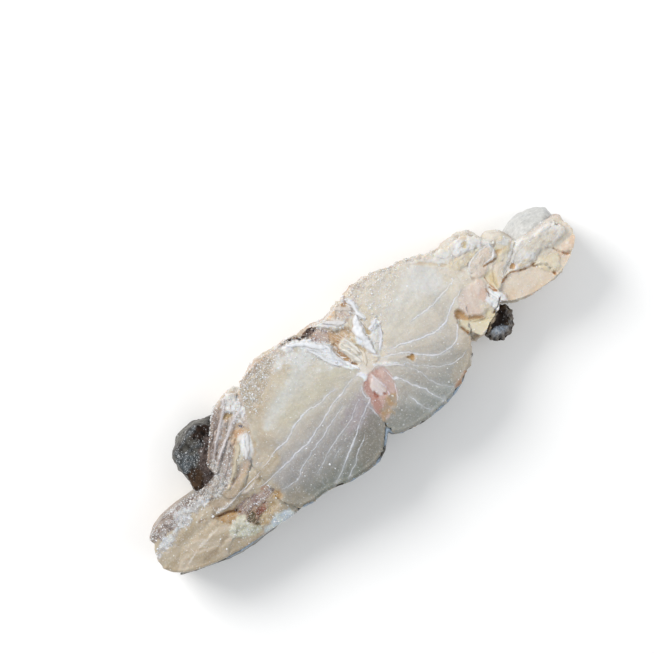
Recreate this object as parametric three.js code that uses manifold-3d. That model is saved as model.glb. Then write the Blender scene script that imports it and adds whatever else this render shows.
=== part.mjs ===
// Cod neck fillet: a slab cut straight across the shoulders of a large cod, lying on one cut face.
//
// Millimetres, +Z up. X runs along the slab from the ragged end of the left collar to the right one.
// -Y is the back of the fish, which keeps its skin. +Y is the side the backbone was cut out of.
// Two thick lobes of back muscle meet in the middle at a notch in the back. The collar carries on
// past each lobe as folded flaps, with pieces of skin and the stub of a fin beside them.
//
// Every form is a pad: a flat foot, a wall, a rounded rim and a crowned top, stretched to an
// outline that passes smoothly through a few corners. The flesh is all its pads joined. The slab's
// box stands centred over the origin.

import * as THREE from "three";
import { mergeVertices } from "three/addons/utils/BufferGeometryUtils.js";
import Module from "manifold-3d";

const wasm = await Module();
wasm.setup();

// Driving dimensions.
const SLAB = 40; // height of the lobes' cut face above the foot
const COLLAR = 35; // height of the collar flaps, which have sunk a little
const BACK_RIM = 1.2; // radius of the cut edge on the skin side
const INNER_RIM = 3; // the same on the torn side, where the edge has worn round
const FOOT_TURN = 1.2; // radius of the turn from the foot into the wall
const BELLY = 1.5; // how far a wall swells out between the foot and its widest line
const WIDEST = 0.45; // height of that line, as a share of the pad's top
const SKIN = 1.2; // thickness of the skin on the back
const SKIN_HEM = 0.6; // the skin stops this far above the ground
const SKIN_BARED = 3; // lift of the cutter that keeps the skin off the cut face
const GAP = 0.4; // clearance between separate pieces
const FACET = 5; // length of a facet round an outline
const ROUND_STEPS = 3; // facets round a rim
const RINGS = 3; // rings across a pad's top
const DEEPEST_INSET = 0.6; // a narrow pad's rim takes at most this share of its half width

// A pad's corners run anticlockwise as [x, y]. Its wall leans in by lean, and the middle of its
// top stands crown above its rim.
const LOBES = [
  { // left
    centre: [-31, 0],
    outline: [
      [4, -8], [5, 12], [-2, 27], [-10, 34], [-23, 35.5], [-35, 35], [-45, 30.5], [-56, 16],
      [-62, -8], [-60, -26], [-52, -33], [-40, -33], [-27, -36], [-12, -35.5], [-6, -31], [-1, -25],
    ],
    top: SLAB, crown: 1.2, lean: 0.8,
  },
  { // right
    centre: [36, 2],
    outline: [
      [-1, -24.5], [-1, -28.5], [3, -31.5], [12, -33], [22, -33], [34, -31], [44, -26.5], [53, -19.5],
      [60, -8], [66, 8], [67, 22], [58, 30.5], [45, 34], [32, 37], [20, 37], [9, 30], [-2, 12],
    ],
    top: SLAB, crown: 1.2, lean: 0.8,
  },
  { // red muscle that joins them above the notch
    centre: [6, -3],
    outline: [
      [-1, -23.5], [6, -22], [15, -16], [21, -4], [20, 8], [10, 16], [0, 13], [-7, 4], [-8, -8],
      [-4, -20],
    ],
    top: SLAB, crown: 0.9, lean: 1,
  },
  { // torn bridge behind the backbone's bed
    centre: [4, 21],
    outline: [
      [18, 12], [24, 28], [16, 35.5], [9, 33.5], [1, 33.5], [-8, 34.5], [-16, 28], [-8, 12], [4, 6],
    ],
    top: SLAB - 5, crown: 1, lean: 2,
  },
];
const LEFT_COLLAR = [
  { // tail flap
    centre: [-88, -15],
    outline: [
      [-50, -8], [-58, 4], [-75, 3], [-93, 1], [-106, 1], [-117, -1], [-124, -7], [-126, -16],
      [-121, -24], [-108, -30], [-90, -34], [-70, -34], [-54, -33], [-46, -22],
    ],
    top: COLLAR, crown: 2, lean: 2.5,
  },
  { // inner fold, against the lobe
    centre: [-61, 8],
    outline: [
      [-44, 22], [-50, 27], [-58, 22.5], [-67, 13], [-77, 3], [-83, -7], [-77, -12], [-66, -6],
      [-54, 4], [-45, 12],
    ],
    top: COLLAR + 3, crown: 2, lean: 2,
  },
  { // outer fold
    centre: [-62, 20],
    outline: [
      [-46, 29], [-51, 32], [-58, 30], [-66, 23], [-74, 13], [-80, 4], [-76, 1], [-68, 8], [-58, 17],
      [-49, 23],
    ],
    top: COLLAR + 1, crown: 2, lean: 2,
  },
];
const RIGHT_COLLAR = [
  { // thin muscle along the lobe
    centre: [69, 7],
    outline: [[54, -4], [60, -12], [70, -14], [79, -8], [80, 6], [78, 20], [70, 28], [60, 28], [54, 14]],
    top: COLLAR + 2, crown: 1.5, lean: 2,
  },
  { // upper lump
    centre: [77, 18],
    outline: [[66, 18], [70, 9], [80, 8], [87, 13], [87, 22], [82, 27.5], [75, 29], [67, 27]],
    top: COLLAR + 3, crown: 2.5, lean: 3,
  },
  { // outer lump
    centre: [87, 7],
    outline: [[78, 2], [82, -8], [90, -10], [97, -2], [99, 8], [96, 16], [90, 19], [82, 16]],
    top: COLLAR, crown: 2.5, lean: 3,
  },
  { // leaf of yellow fat that hangs off the lobe's corner
    centre: [65, -11],
    outline: [[54, -6], [54, -15], [58, -20.5], [65, -18.5], [73, -15], [79, -10], [77, -4], [64, -2]],
    top: COLLAR - 3, crown: 2, lean: 3,
  },
  { // end flap
    centre: [103, -3],
    outline: [
      [76, 2], [72, -8], [77, -13.5], [86, -17], [97, -18.5], [110, -17], [120, -11], [126, -3],
      [124, 5], [114, 8.5], [100, 9], [88, 10],
    ],
    top: COLLAR - 2, crown: 2, lean: 2.5,
  },
];
const CORE = { // closes the slits between the pads, so that they are only creases from above
  centre: [0, 2],
  outline: [
    [-84, -8], [-86, -18], [-80, -26], [-58, -29], [-30, -31], [-14, -30], [-5, -20], [4, -20],
    [14, -28], [30, -28], [44, -22], [54, -8], [70, -6], [84, -6], [94, -4], [94, 6], [84, 16],
    [72, 23], [50, 29], [20, 32], [0, 30], [-14, 31], [-40, 30], [-54, 24], [-68, 10],
  ],
  top: SLAB - 7, crown: 0, lean: 1,
};
const FLESH = [...LOBES, ...LEFT_COLLAR, ...RIGHT_COLLAR, CORE];

// Collar skin that stands out past the flesh, lower than the cut face.
const LEFT_SKIN = {
  centre: [-84, 8],
  outline: [
    [-64, 4], [-62, 20], [-68, 27.5], [-79, 28.5], [-89.5, 24.5], [-92.5, 17], [-92.5, 8], [-94, 2],
    [-92, -5], [-80, -8],
  ],
  top: COLLAR - 7, crown: 3, lean: 2.5,
};
const RIGHT_SKIN = {
  centre: [108, 8],
  outline: [[106, 0], [119, 3], [123, 10], [117, 16], [109, 17.5], [101, 16], [94, 11], [92, 4]],
  top: COLLAR - 9, crown: 3, lean: 4,
};

// Stub of the fin: a thick leaf that leaves the collar near the top and droops.
const FIN = {
  centre: [70, -18],
  outline: [[62, -21], [65, -26], [70, -27.5], [75, -25.5], [79, -20], [78.5, -12], [72, -9], [63, -13]],
  top: 6, crown: 1.5, lean: 1.5,
};
const FIN_ROOT = { x: 70, y: -10, z: COLLAR - 11 };
const FIN_REACH = 18; // from the root to the tip, seen from above
const FIN_DROOP = 16; // how far the tip hangs below the root

// The backbone's bed, a shallow bowl cut away by an ellipsoid centred above the cut face.
const BED = { centre: [-2, 27, SLAB + 5], radii: [9, 14, 11] };

// The stretch of the back that keeps its skin, seen from above.
const SKINNED = [[-118, -60], [50, -60], [50, -14], [0, -16], [-57, -20], [-118, -20]];

// A profile point is [share of the outline's reach, millimetres drawn in from it, height].
function profileOf({ top, crown, lean }, rim) {
  const profile = [[0, 0, 0], [1, BELLY + FOOT_TURN, 0], [1, BELLY, FOOT_TURN], [1, 0, WIDEST * top]];
  for (let i = 0; i <= ROUND_STEPS; i++) {
    const turn = (i / ROUND_STEPS) * (Math.PI / 2);
    profile.push([1, lean + rim * (1 - Math.cos(turn)), top - rim * (1 - Math.sin(turn))]);
  }
  for (let i = RINGS - 1; i >= 0; i--) {
    const share = i / RINGS;
    profile.push([share, lean + rim, top + crown * (1 - share * share)]);
  }
  return profile;
}

// A lathe turned to the pad's profile, then pushed out to its outline, widened by grow.
function padGeometry(pad, grow = 0) {
  const corners = pad.outline.map(([x, y]) => new THREE.Vector3(x, y, 0));
  const outline = new THREE.CatmullRomCurve3(corners, true, "centripetal");
  const segments = Math.round(outline.getLength() / FACET);
  const blank = profileOf(pad, BACK_RIM).map(([share, , z]) => new THREE.Vector2(share, z));
  const lathe = new THREE.LatheGeometry(blank, segments);
  const centre = new THREE.Vector3(...pad.centre, 0);
  const position = lathe.getAttribute("position");
  for (let i = 0; i <= segments; i++) {
    const reach = outline.getPointAt((i % segments) / segments).sub(centre);
    const away = reach.clone().normalize();
    const rim = THREE.MathUtils.lerp(BACK_RIM, INNER_RIM, (1 + away.y) / 2);
    const fit = Math.min(1, (DEEPEST_INSET * reach.length()) / (pad.lean + rim));
    profileOf(pad, rim).forEach(([share, inset, z], j) => {
      const radius = share * (reach.length() + grow - fit * inset);
      position.setXYZ(i * blank.length + j, centre.x + away.x * radius, centre.y + away.y * radius, z);
    });
  }
  return lathe;
}

function solidOf(geometry) {
  const bare = new THREE.BufferGeometry();
  bare.setAttribute("position", geometry.getAttribute("position"));
  bare.setIndex(geometry.index); // null where the triangles are loose
  const merged = mergeVertices(bare, 1e-4);
  return new wasm.Manifold(
    new wasm.Mesh({
      numProp: 3,
      vertProperties: new Float32Array(merged.getAttribute("position").array),
      triVerts: new Uint32Array(merged.index.array),
    }),
  );
}

function geometryOf(solid) {
  const mesh = solid.getMesh();
  const geometry = new THREE.BufferGeometry();
  geometry.setAttribute("position", new THREE.BufferAttribute(mesh.vertProperties, 3));
  geometry.setIndex(new THREE.BufferAttribute(mesh.triVerts, 1));
  geometry.computeVertexNormals();
  return geometry;
}

function joinedPads(grow = 0, lift = 0) {
  const solids = FLESH.map((pad) => solidOf(padGeometry(pad, grow).translate(0, 0, lift)));
  return solids.reduce((joined, solid) => joined.add(solid));
}

function largest(solid) {
  return solid.decompose().reduce((best, piece) => (piece.volume() > best.volume() ? piece : best));
}

function flesh() {
  const bed = new THREE.SphereGeometry(1, 24, 16).scale(...BED.radii).translate(...BED.centre);
  return joinedPads().subtract(solidOf(bed));
}

function backSkin() {
  const shape = new THREE.Shape(SKINNED.map(([x, y]) => new THREE.Vector2(x, y)));
  const zone = new THREE.ExtrudeGeometry(shape, { depth: 2 * SLAB, bevelEnabled: false });
  zone.translate(0, 0, SKIN_HEM);
  const inside = joinedPads(GAP).add(joinedPads(GAP, SKIN_BARED));
  const layer = joinedPads(GAP + SKIN).subtract(inside);
  return largest(layer.intersect(solidOf(zone)));
}

function besideFlesh(geometry) {
  return largest(solidOf(geometry).subtract(joinedPads(GAP)));
}

function finLeaf() {
  const leaf = padGeometry(FIN);
  const position = leaf.getAttribute("position");
  for (let i = 0; i < position.count; i++) {
    const [x, y, z] = [position.getX(i), position.getY(i), position.getZ(i)];
    const share = Math.hypot(x - FIN_ROOT.x, y - FIN_ROOT.y) / FIN_REACH;
    position.setZ(i, FIN_ROOT.z + z - FIN_DROOP * share * share);
  }
  return leaf;
}

function piece(name, solid, color, roughness) {
  const material = new THREE.MeshStandardMaterial({ color, roughness, metalness: 0 });
  const mesh = new THREE.Mesh(geometryOf(solid), material);
  mesh.name = name;
  return mesh;
}

const FLESH_COLOUR = 0xd3cdc0;
const SKIN_COLOUR = 0x4b4643;
const PALE_SKIN_COLOUR = 0xa6a8a4;
const FIN_COLOUR = 0x33261f;

const fillet = new THREE.Group();
fillet.add(
  piece("flesh", flesh(), FLESH_COLOUR, 0.5),
  piece("back_skin", backSkin(), SKIN_COLOUR, 0.45),
  piece("left_skin", besideFlesh(padGeometry(LEFT_SKIN)), SKIN_COLOUR, 0.45),
  piece("right_skin", besideFlesh(padGeometry(RIGHT_SKIN)), PALE_SKIN_COLOUR, 0.45),
  piece("fin", besideFlesh(finLeaf()), FIN_COLOUR, 0.4),
);

const box = new THREE.Box3().setFromObject(fillet);
fillet.position.set(-(box.min.x + box.max.x) / 2, -(box.min.y + box.max.y) / 2, 0);

export default fillet;
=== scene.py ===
"""Looks of the cod neck fillet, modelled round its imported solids. Places and sizes are millimetres
and colours are screen values from 0 to 255, unless a comment says otherwise."""
import itertools
import math

import bmesh
import bpy
import numpy as np
from mathutils import Matrix, Vector
from mathutils.bvhtree import BVHTree
from mathutils.kdtree import KDTree


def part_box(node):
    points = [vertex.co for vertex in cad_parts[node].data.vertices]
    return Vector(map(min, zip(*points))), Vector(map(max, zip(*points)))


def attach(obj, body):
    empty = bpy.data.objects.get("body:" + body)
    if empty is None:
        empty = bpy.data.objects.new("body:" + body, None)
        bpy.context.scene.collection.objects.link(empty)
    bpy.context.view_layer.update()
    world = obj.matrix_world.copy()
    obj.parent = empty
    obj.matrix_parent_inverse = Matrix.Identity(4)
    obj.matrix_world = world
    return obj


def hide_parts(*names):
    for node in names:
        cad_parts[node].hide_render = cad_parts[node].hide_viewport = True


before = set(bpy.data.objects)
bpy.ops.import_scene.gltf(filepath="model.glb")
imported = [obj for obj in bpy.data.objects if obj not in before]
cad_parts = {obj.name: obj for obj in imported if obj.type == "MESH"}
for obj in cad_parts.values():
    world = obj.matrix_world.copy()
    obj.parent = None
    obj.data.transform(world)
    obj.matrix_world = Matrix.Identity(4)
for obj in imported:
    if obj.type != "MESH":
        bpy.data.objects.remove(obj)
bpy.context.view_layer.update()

MM = 0.001
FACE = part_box("flesh")[1].z / MM - 1.2  # rim of the lobes' cut face
EDGE_DROP = FACE - 10  # a strip that reached below this would hang down the wall
TAIL_X = -57  # left of this, the tail's face lies lower than the lobes'
SKINNED_X = (-118, 50)  # the back keeps its skin over this stretch
FLESH_VOXEL, SKIN_VOXEL, FIN_VOXEL = 0.42, 0.55, 0.4  # how finely each piece is remeshed
STRIP_THICKNESS = 0.25
CRYSTALS = 6000  # grains of frost
STUDIO_LIGHT = 1.155  # how much brighter than its own colour a level white surface shows

# ---------------------------------------------------------------- colour and number helpers


def linear(red, green, blue):
    """A screen colour as the scene-linear values that nodes take."""
    return np.array([((c / 255 + 0.055) / 1.055) ** 2.4 for c in (red, green, blue)])


def rgba(colour):
    return (*[float(c) for c in colour], 1.0)


def ramp(value, low, high):
    """0 below low, 1 above high and a smooth rise between. With low above high it falls."""
    t = np.clip((value - low) / (high - low), 0, 1)
    return t * t * (3 - 2 * t)


def blended(values, colour, share):
    """The linear colours in values, turned towards a screen colour by each point's share."""
    return values + share[:, None] * (linear(*colour) - values)


def lattice_noise(points, size, seed):
    """Smooth noise from -1 to 1 whose lumps are about size across."""
    table = np.random.default_rng(seed).uniform(-1, 1, (32, 32, 32))
    scaled = points / size
    cell = np.floor(scaled).astype(int)
    part = ramp(scaled - cell, 0, 1)
    total = np.zeros(len(points))
    for corner in itertools.product((0, 1), repeat=3):
        i, j, k = ((cell + corner) % 32).T
        total += np.prod(np.where(corner, part, 1 - part), axis=1) * table[i, j, k]
    return total


def rough_noise(points, size, seed, octaves=3, gain=0.5):
    """Lattice noise with finer and weaker copies added to it."""
    return sum(gain**i * lattice_noise(points, size / 2**i, seed + i) for i in range(octaves))


def spline(points, steps):
    """A smooth open line through the points, with steps stretches between each pair."""
    points = np.array(points, float)
    padded = np.vstack([2 * points[0] - points[1], points, 2 * points[-1] - points[-2]])
    line = []
    for a, b, c, d in zip(padded, padded[1:], padded[2:], padded[3:]):
        for t in np.arange(steps) / steps:
            line.append(0.5 * (2 * b + (c - a) * t + (2 * a - 5 * b + 4 * c - d) * t**2
                               + (3 * b - a - 3 * c + d) * t**3))
    return np.array(line + [points[-1]])


def gap_to_segments(xy, starts, ends):
    """Distance from each point to the nearest of the segments, and how far along them that is."""
    best, reached = np.full(len(xy), 1e9), np.zeros(len(xy))
    for i, (a, b) in enumerate(zip(starts, ends)):
        along = b - a
        t = np.clip(((xy - a) @ along) / max(along @ along, 1e-12), 0, 1)
        gap = np.hypot(*(xy - a - t[:, None] * along).T)
        reached = np.where(gap < best, (i + t) / len(starts), reached)
        best = np.minimum(best, gap)
    return best, reached


def depth_inside(xy, outline):
    """How far each point is inside the smooth outline, and negative outside it."""
    steps = 5  # between each pair of the outline's points
    line = spline([outline[-1], *outline, outline[0], outline[1]], steps)[steps : -steps - 1]
    ends = np.roll(line, -1, axis=0)
    inside = np.zeros(len(xy), bool)
    for (ax, ay), (bx, by) in zip(line, ends):
        if ay != by:
            crosses = (xy[:, 1] > ay) != (xy[:, 1] > by)
            inside ^= crosses & (xy[:, 0] < (bx - ax) * (xy[:, 1] - ay) / (by - ay) + ax)
    gap, _ = gap_to_segments(xy, line, ends)
    return np.where(inside, gap, -gap)


# ---------------------------------------------------------------- mesh helpers


def link(name, data):
    item = bpy.data.objects.new(name, data)
    bpy.context.scene.collection.objects.link(item)
    return item


def piece_from(name, bm, unit=MM):
    """Makes bm, which is in millimetres unless unit says otherwise, an object of the scene."""
    bmesh.ops.scale(bm, vec=(unit,) * 3, verts=bm.verts)
    mesh = bpy.data.meshes.new(name)
    bm.to_mesh(mesh)
    bm.free()
    return link(name, mesh)


def read(items, key, width):
    """One property of every item of a mesh, as rows of width numbers."""
    flat = np.zeros(width * len(items), np.float32)
    items.foreach_get(key, flat)
    return flat.reshape(-1, width)


def points_of(piece):
    return read(piece.data.vertices, "co", 3).astype(float) / MM


def shaped(piece, kind, **settings):
    """Gives the piece a modifier and applies it."""
    modifier = piece.modifiers.new(kind.lower(), kind)
    for key, value in settings.items():
        setattr(modifier, key, value)
    view = bpy.context.evaluated_depsgraph_get()
    mesh = bpy.data.meshes.new_from_object(piece.evaluated_get(view))
    piece.modifiers.clear()
    piece.data = mesh


def evened(name, node, voxel, rounds):
    """A CAD node's merged copy as one even fine mesh, smoothed a few rounds."""
    bm = bmesh.new()
    bm.from_mesh(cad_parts[node].data)
    bmesh.ops.scale(bm, vec=(1 / MM,) * 3, verts=bm.verts)
    bmesh.ops.remove_doubles(bm, verts=bm.verts, dist=0.002)
    piece = piece_from(name, bm)
    shaped(piece, "REMESH", mode="VOXEL", voxel_size=voxel * MM)
    shaped(piece, "SMOOTH", factor=0.5, iterations=rounds)
    return piece


def dress(piece, material):
    piece.data.materials.clear()
    piece.data.materials.append(material)
    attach(piece, "root")
    return piece


def finish_worked(piece, points, tint, frost, weights, ratio, material):
    """Moves and paints the piece's points, collapses its triangles to ratio of their number, most of
    all where weights are high, and dresses it."""
    mesh = piece.data
    mesh.vertices.foreach_set("co", (points * MM).astype(np.float32).ravel())
    mesh.update()
    colours = np.column_stack([tint / STUDIO_LIGHT, np.ones(len(tint))])
    for name, kind, key, values in (
        ("tint", "FLOAT_COLOR", "color", colours), ("frost", "FLOAT", "value", frost),
    ):
        painted = mesh.attributes.new(name, kind, "POINT")
        painted.data.foreach_set(key, values.astype(np.float32).ravel())
    group = piece.vertex_groups.new(name="thin")
    for step in range(11):
        chosen = np.flatnonzero(np.round(weights * 10) == step)
        group.add(chosen.tolist(), step / 10, "REPLACE")
    shaped(piece, "DECIMATE", ratio=ratio, vertex_group=group.name, vertex_group_factor=10)
    piece.vertex_groups.clear()
    dress(piece, material)
    piece.data.shade_smooth()


# ---------------------------------------------------------------- node helpers


class Nodes:
    """Adds shader nodes to one tree. Each method gives back the new node's outputs, or one of them."""

    def __init__(self, tree):
        self.tree = tree

    def fill(self, node, inputs):
        """Sets the node's inputs, or links them where they are given another node's output."""
        for key, value in inputs.items():
            if isinstance(value, bpy.types.NodeSocket):
                self.tree.links.new(value, node.inputs[key])
            else:
                node.inputs[key].default_value = value

    def add(self, kind, inputs, **settings):
        node = self.tree.nodes.new("ShaderNode" + kind)
        for key, value in settings.items():
            setattr(node, key, value)
        self.fill(node, inputs)
        return node.outputs

    def place(self):
        return self.add("TexCoord", {})["Object"]

    def noise(self, place, scale, detail=2.0, roughness=0.5):
        return self.add("TexNoise", {"Vector": place, "Scale": scale, "Detail": detail,
                                     "Roughness": roughness})

    def cells(self, place, scale, **settings):
        return self.add("TexVoronoi", {"Vector": place, "Scale": scale}, **settings)

    def maths(self, operation, a, b):
        return self.add("Math", {0: a, 1: b}, operation=operation)[0]

    def times(self, a, b):
        return self.maths("MULTIPLY", a, b)

    def plus(self, a, b):
        return self.maths("ADD", a, b)

    def span(self, value, low, high, to_low=0.0, to_high=1.0):
        """Takes low to to_low and high to to_high, with a smooth rise between."""
        inputs = {"Value": value, "From Min": low, "From Max": high, "To Min": to_low, "To Max": to_high}
        return self.add("MapRange", inputs, interpolation_type="SMOOTHSTEP")["Result"]

    def mix(self, share, a, b):
        return self.add("Mix", {0: share, 6: a, 7: b}, data_type="RGBA")[2]


def group_of(name, inputs, outputs):
    """A node group that is given a Vector and the inputs: its nodes, its inputs and its end node."""
    tree = bpy.data.node_groups.new(name, "ShaderNodeTree")
    tree.interface.new_socket("Vector", in_out="INPUT", socket_type="NodeSocketVector")
    for label, default in inputs.items():
        socket = tree.interface.new_socket(label, in_out="INPUT", socket_type="NodeSocketFloat")
        socket.default_value = default
    for label in outputs:
        tree.interface.new_socket(label, in_out="OUTPUT", socket_type="NodeSocketFloat")
    return Nodes(tree), tree.nodes.new("NodeGroupInput").outputs, tree.nodes.new("NodeGroupOutput")


def new_material(name):
    material = bpy.data.materials.new(name)
    material.use_nodes = True
    tree = material.node_tree
    tree.nodes.clear()
    shader, end = (tree.nodes.new("ShaderNode" + kind) for kind in ("BsdfPrincipled", "OutputMaterial"))
    tree.links.new(shader.outputs["BSDF"], end.inputs["Surface"])
    end.is_active_output = True
    return material, Nodes(tree), shader


# ---------------------------------------------------------------- shared effects and materials

FROST_WHITE = rgba(linear(228, 230, 233))
ICE_GREY, ICE_WHITE = (rgba(linear(*c) / STUDIO_LIGHT) for c in ((222, 222, 220), (240, 243, 248)))


def make_grain_group():
    """Fine wet grain: a mask of pale specks, slow clouding, quick mottling and a height for bumps."""
    nodes, given, end = group_of("fish_grain", {}, ("Specks", "Clouds", "Mottle", "Height"))
    place = given["Vector"]
    specks = nodes.noise(place, 1500.0)[0]
    cells = nodes.cells(place, 1200.0, feature="SMOOTH_F1")[0]
    nodes.fill(end, {
        "Specks": nodes.span(specks, 0.56, 0.7),
        "Clouds": nodes.noise(place, 120.0, 3.0)[0],
        "Mottle": nodes.noise(place, 675.0)[0],
        "Height": nodes.plus(specks, nodes.times(cells, 0.5)),
    })
    return nodes.tree


def make_frost_group():
    """Frost: grains of uneven size that cover a share of the surface, and their height."""
    nodes, given, end = group_of("frost_grains", {"Amount": 0.5}, ("Cover", "Height"))
    bend = nodes.noise(given["Vector"], 1800.0, 1.0)["Color"]
    stray = nodes.add("VectorMath", {0: bend, 1: (0.0007,) * 3}, operation="MULTIPLY")[0]
    bent = nodes.add("VectorMath", {0: given["Vector"], 1: stray}, operation="ADD")[0]
    covers = []
    for scale, share in ((2300.0, 0.8), (1350.0, 0.5), (800.0, 0.22)):
        cells = nodes.cells(bent, scale)
        chance = nodes.add("SeparateColor", {"Color": cells["Color"]})
        chosen = nodes.maths("LESS_THAN", chance[0], nodes.times(given["Amount"], share))
        bright = nodes.times(nodes.span(cells["Distance"], 0.55, 0.2),
                             nodes.span(chance[1], 0.0, 1.0, 0.45, 1.0))
        covers.append(nodes.times(chosen, bright))
    large, middling, small = covers[::-1]
    nodes.fill(end, {
        "Cover": nodes.maths("MAXIMUM", nodes.maths("MAXIMUM", small, middling), large),
        "Height": nodes.plus(nodes.plus(small, middling), large),
    })
    return nodes.tree


GRAIN = make_grain_group()
FROST = make_frost_group()


def frosted_material(name):
    """A new material, its painted tint and the grains of its painted share of frost."""
    material, nodes, shader = new_material(name)
    place = nodes.place()
    tint = nodes.add("Attribute", {}, attribute_name="tint")["Color"]
    amount = nodes.add("Attribute", {}, attribute_name="frost")["Fac"]
    dust = nodes.add("Group", {"Vector": place, "Amount": amount}, node_tree=FROST)
    return material, nodes, shader, place, tint, dust


def flesh_material(name, subsurface=0.6, roughness=0.44):
    """Moist raw flesh: painted tint, clouded, mottled and specked, under the painted frost."""
    material, nodes, shader, place, tint, dust = frosted_material(name)
    grain = nodes.add("Group", {"Vector": place}, node_tree=GRAIN)
    value = nodes.times(nodes.span(grain["Clouds"], 0.3, 0.7, 0.96, 1.04),
                        nodes.span(grain["Mottle"], 0.3, 0.7, 0.97, 1.03))
    mottled = nodes.add("HueSaturation", {"Color": tint, "Value": value})[0]
    pale = nodes.mix(nodes.times(grain["Specks"], 0.16), mottled, FROST_WHITE)
    height = nodes.plus(grain["Height"], nodes.times(dust["Height"], 2.0))
    nodes.fill(shader, {
        "Base Color": nodes.mix(nodes.times(dust["Cover"], 0.85), pale, FROST_WHITE),
        "Roughness": nodes.plus(roughness, nodes.times(dust["Cover"], 0.25)),
        "Normal": nodes.add("Bump", {"Strength": 0.35, "Distance": 0.0004, "Height": height})[0],
        "IOR": 1.36,
        "Subsurface Weight": subsurface,
        "Subsurface Radius": (1.0, 0.7, 0.45),
        "Subsurface Scale": 0.0032,
    })
    return material


def skin_material(name, contrast=1.0, shine=0.5):
    """Wet fish skin: painted tint, tiny scales, fine spots and the frost that is painted on."""
    material, nodes, shader, place, tint, dust = frosted_material(name)
    scales = nodes.cells(place, 900.0)[0]
    blotch = nodes.noise(place, 420.0, 4.0, 0.65)[0]
    value = nodes.times(nodes.span(scales, 0.1, 0.7, 1 + 0.15 * contrast, 1 - 0.2 * contrast),
                        nodes.span(blotch, 0.3, 0.7, 1 - 0.3 * contrast, 1 + 0.35 * contrast))
    mottled = nodes.add("HueSaturation", {"Color": tint, "Value": value})[0]
    height = nodes.plus(nodes.plus(nodes.times(scales, -0.5), blotch), dust["Height"])
    nodes.fill(shader, {
        "Base Color": nodes.mix(nodes.times(dust["Cover"], 0.65), mottled, FROST_WHITE),
        "Roughness": nodes.plus(0.32, nodes.times(dust["Cover"], 0.35)),
        "Normal": nodes.add("Bump", {"Strength": 0.45, "Distance": 0.0005, "Height": height})[0],
        "IOR": 1.38,
        "Specular IOR Level": shine,
    })
    return material


def ice_material(name):
    """Frost crystals: white ice, clouded and a little glossy."""
    material, nodes, shader = new_material(name)
    cloud = nodes.noise(nodes.place(), 700.0)[0]
    nodes.fill(shader, {
        "Base Color": nodes.mix(nodes.span(cloud, 0.35, 0.65), ICE_GREY, ICE_WHITE),
        "Roughness": 0.25,
        "IOR": 1.31,
        "Subsurface Weight": 0.4,
        "Subsurface Radius": (1.0, 1.0, 1.0),
        "Subsurface Scale": 0.0006,
    })
    return material


RAW_FLESH = flesh_material("raw_flesh")
MEMBRANE = flesh_material("membrane", subsurface=0.0, roughness=0.5)
WET_SKIN = skin_material("wet_skin")
PALE_SKIN = skin_material("pale_skin", contrast=0.25)
DARK_SKIN = skin_material("dark_skin", shine=0.2)
FROST_ICE = ice_material("frost_ice")


# ---------------------------------------------------------------- camera, light and floor, in metres

CENTRE = Vector((3.8, 27.9, FACE)) * MM  # what the middle of the picture shows
SPAN = 0.3008  # how much the picture takes in at the cut face
ROLL = math.radians(36)  # the slab's long axis rises this much in the picture
TILT = math.radians(0.5)  # the view leans this much off straight down, from the torn side
LENS, SENSOR = 85.0, 36.0  # millimetres
LIT_PLACE = Vector((0, 0, 0.03))
SKY, SKY_STRENGTH = (0.97, 0.985, 1.0, 1), 0.62
FLOOR_HALF = 3
FLOOR_TONES = (0.9, 0.9, 0.9, 1), (0.92, 0.92, 0.92, 1)


def add_camera():
    data = bpy.data.cameras.new("camera")
    data.lens, data.sensor_width = LENS, SENSOR
    camera = link("camera", data)
    back = Vector((0, math.sin(TILT), math.cos(TILT)))
    right = Vector((math.cos(ROLL), -math.sin(ROLL), 0))
    right = (right - right.dot(back) * back).normalized()
    turn = Matrix((right, back.cross(right), back)).transposed().to_4x4()
    camera.matrix_world = Matrix.Translation(CENTRE + back * (SPAN / SENSOR * LENS)) @ turn
    bpy.context.scene.camera = camera


def add_light(name, place, size, power, colour):
    data = bpy.data.lights.new(name, "AREA")
    data.size, data.energy, data.color = size, power, colour
    light = link(name, data)
    light.location = place
    light.rotation_mode = "QUATERNION"
    light.rotation_quaternion = (LIT_PLACE - Vector(place)).to_track_quat("-Z", "Y")


def add_surroundings():
    scene = bpy.context.scene
    scene.view_settings.view_transform = "Standard"
    world = bpy.data.worlds.new("studio")
    world.use_nodes = True
    background = world.node_tree.nodes["Background"]
    background.inputs["Color"].default_value = SKY
    background.inputs["Strength"].default_value = SKY_STRENGTH
    scene.world = world
    add_light("key", place=(-0.25, 0.75, 0.75), size=0.5, power=9.0, colour=(1.0, 0.985, 0.96))
    add_light("fill", place=(0.6, -0.5, 0.9), size=0.8, power=3.4, colour=(0.95, 0.98, 1.0))
    bm = bmesh.new()
    bmesh.ops.create_grid(bm, x_segments=1, y_segments=1, size=FLOOR_HALF)
    floor = piece_from("floor", bm, unit=1)
    material, nodes, shader = new_material("floor_paper")
    cloud = nodes.noise(nodes.place(), 3.0)[0]
    nodes.fill(shader, {"Base Color": nodes.mix(cloud, *FLOOR_TONES), "Roughness": 0.8})
    floor.data.materials.append(material)


# ---------------------------------------------------------------- tones, seams, strands and slivers

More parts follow.
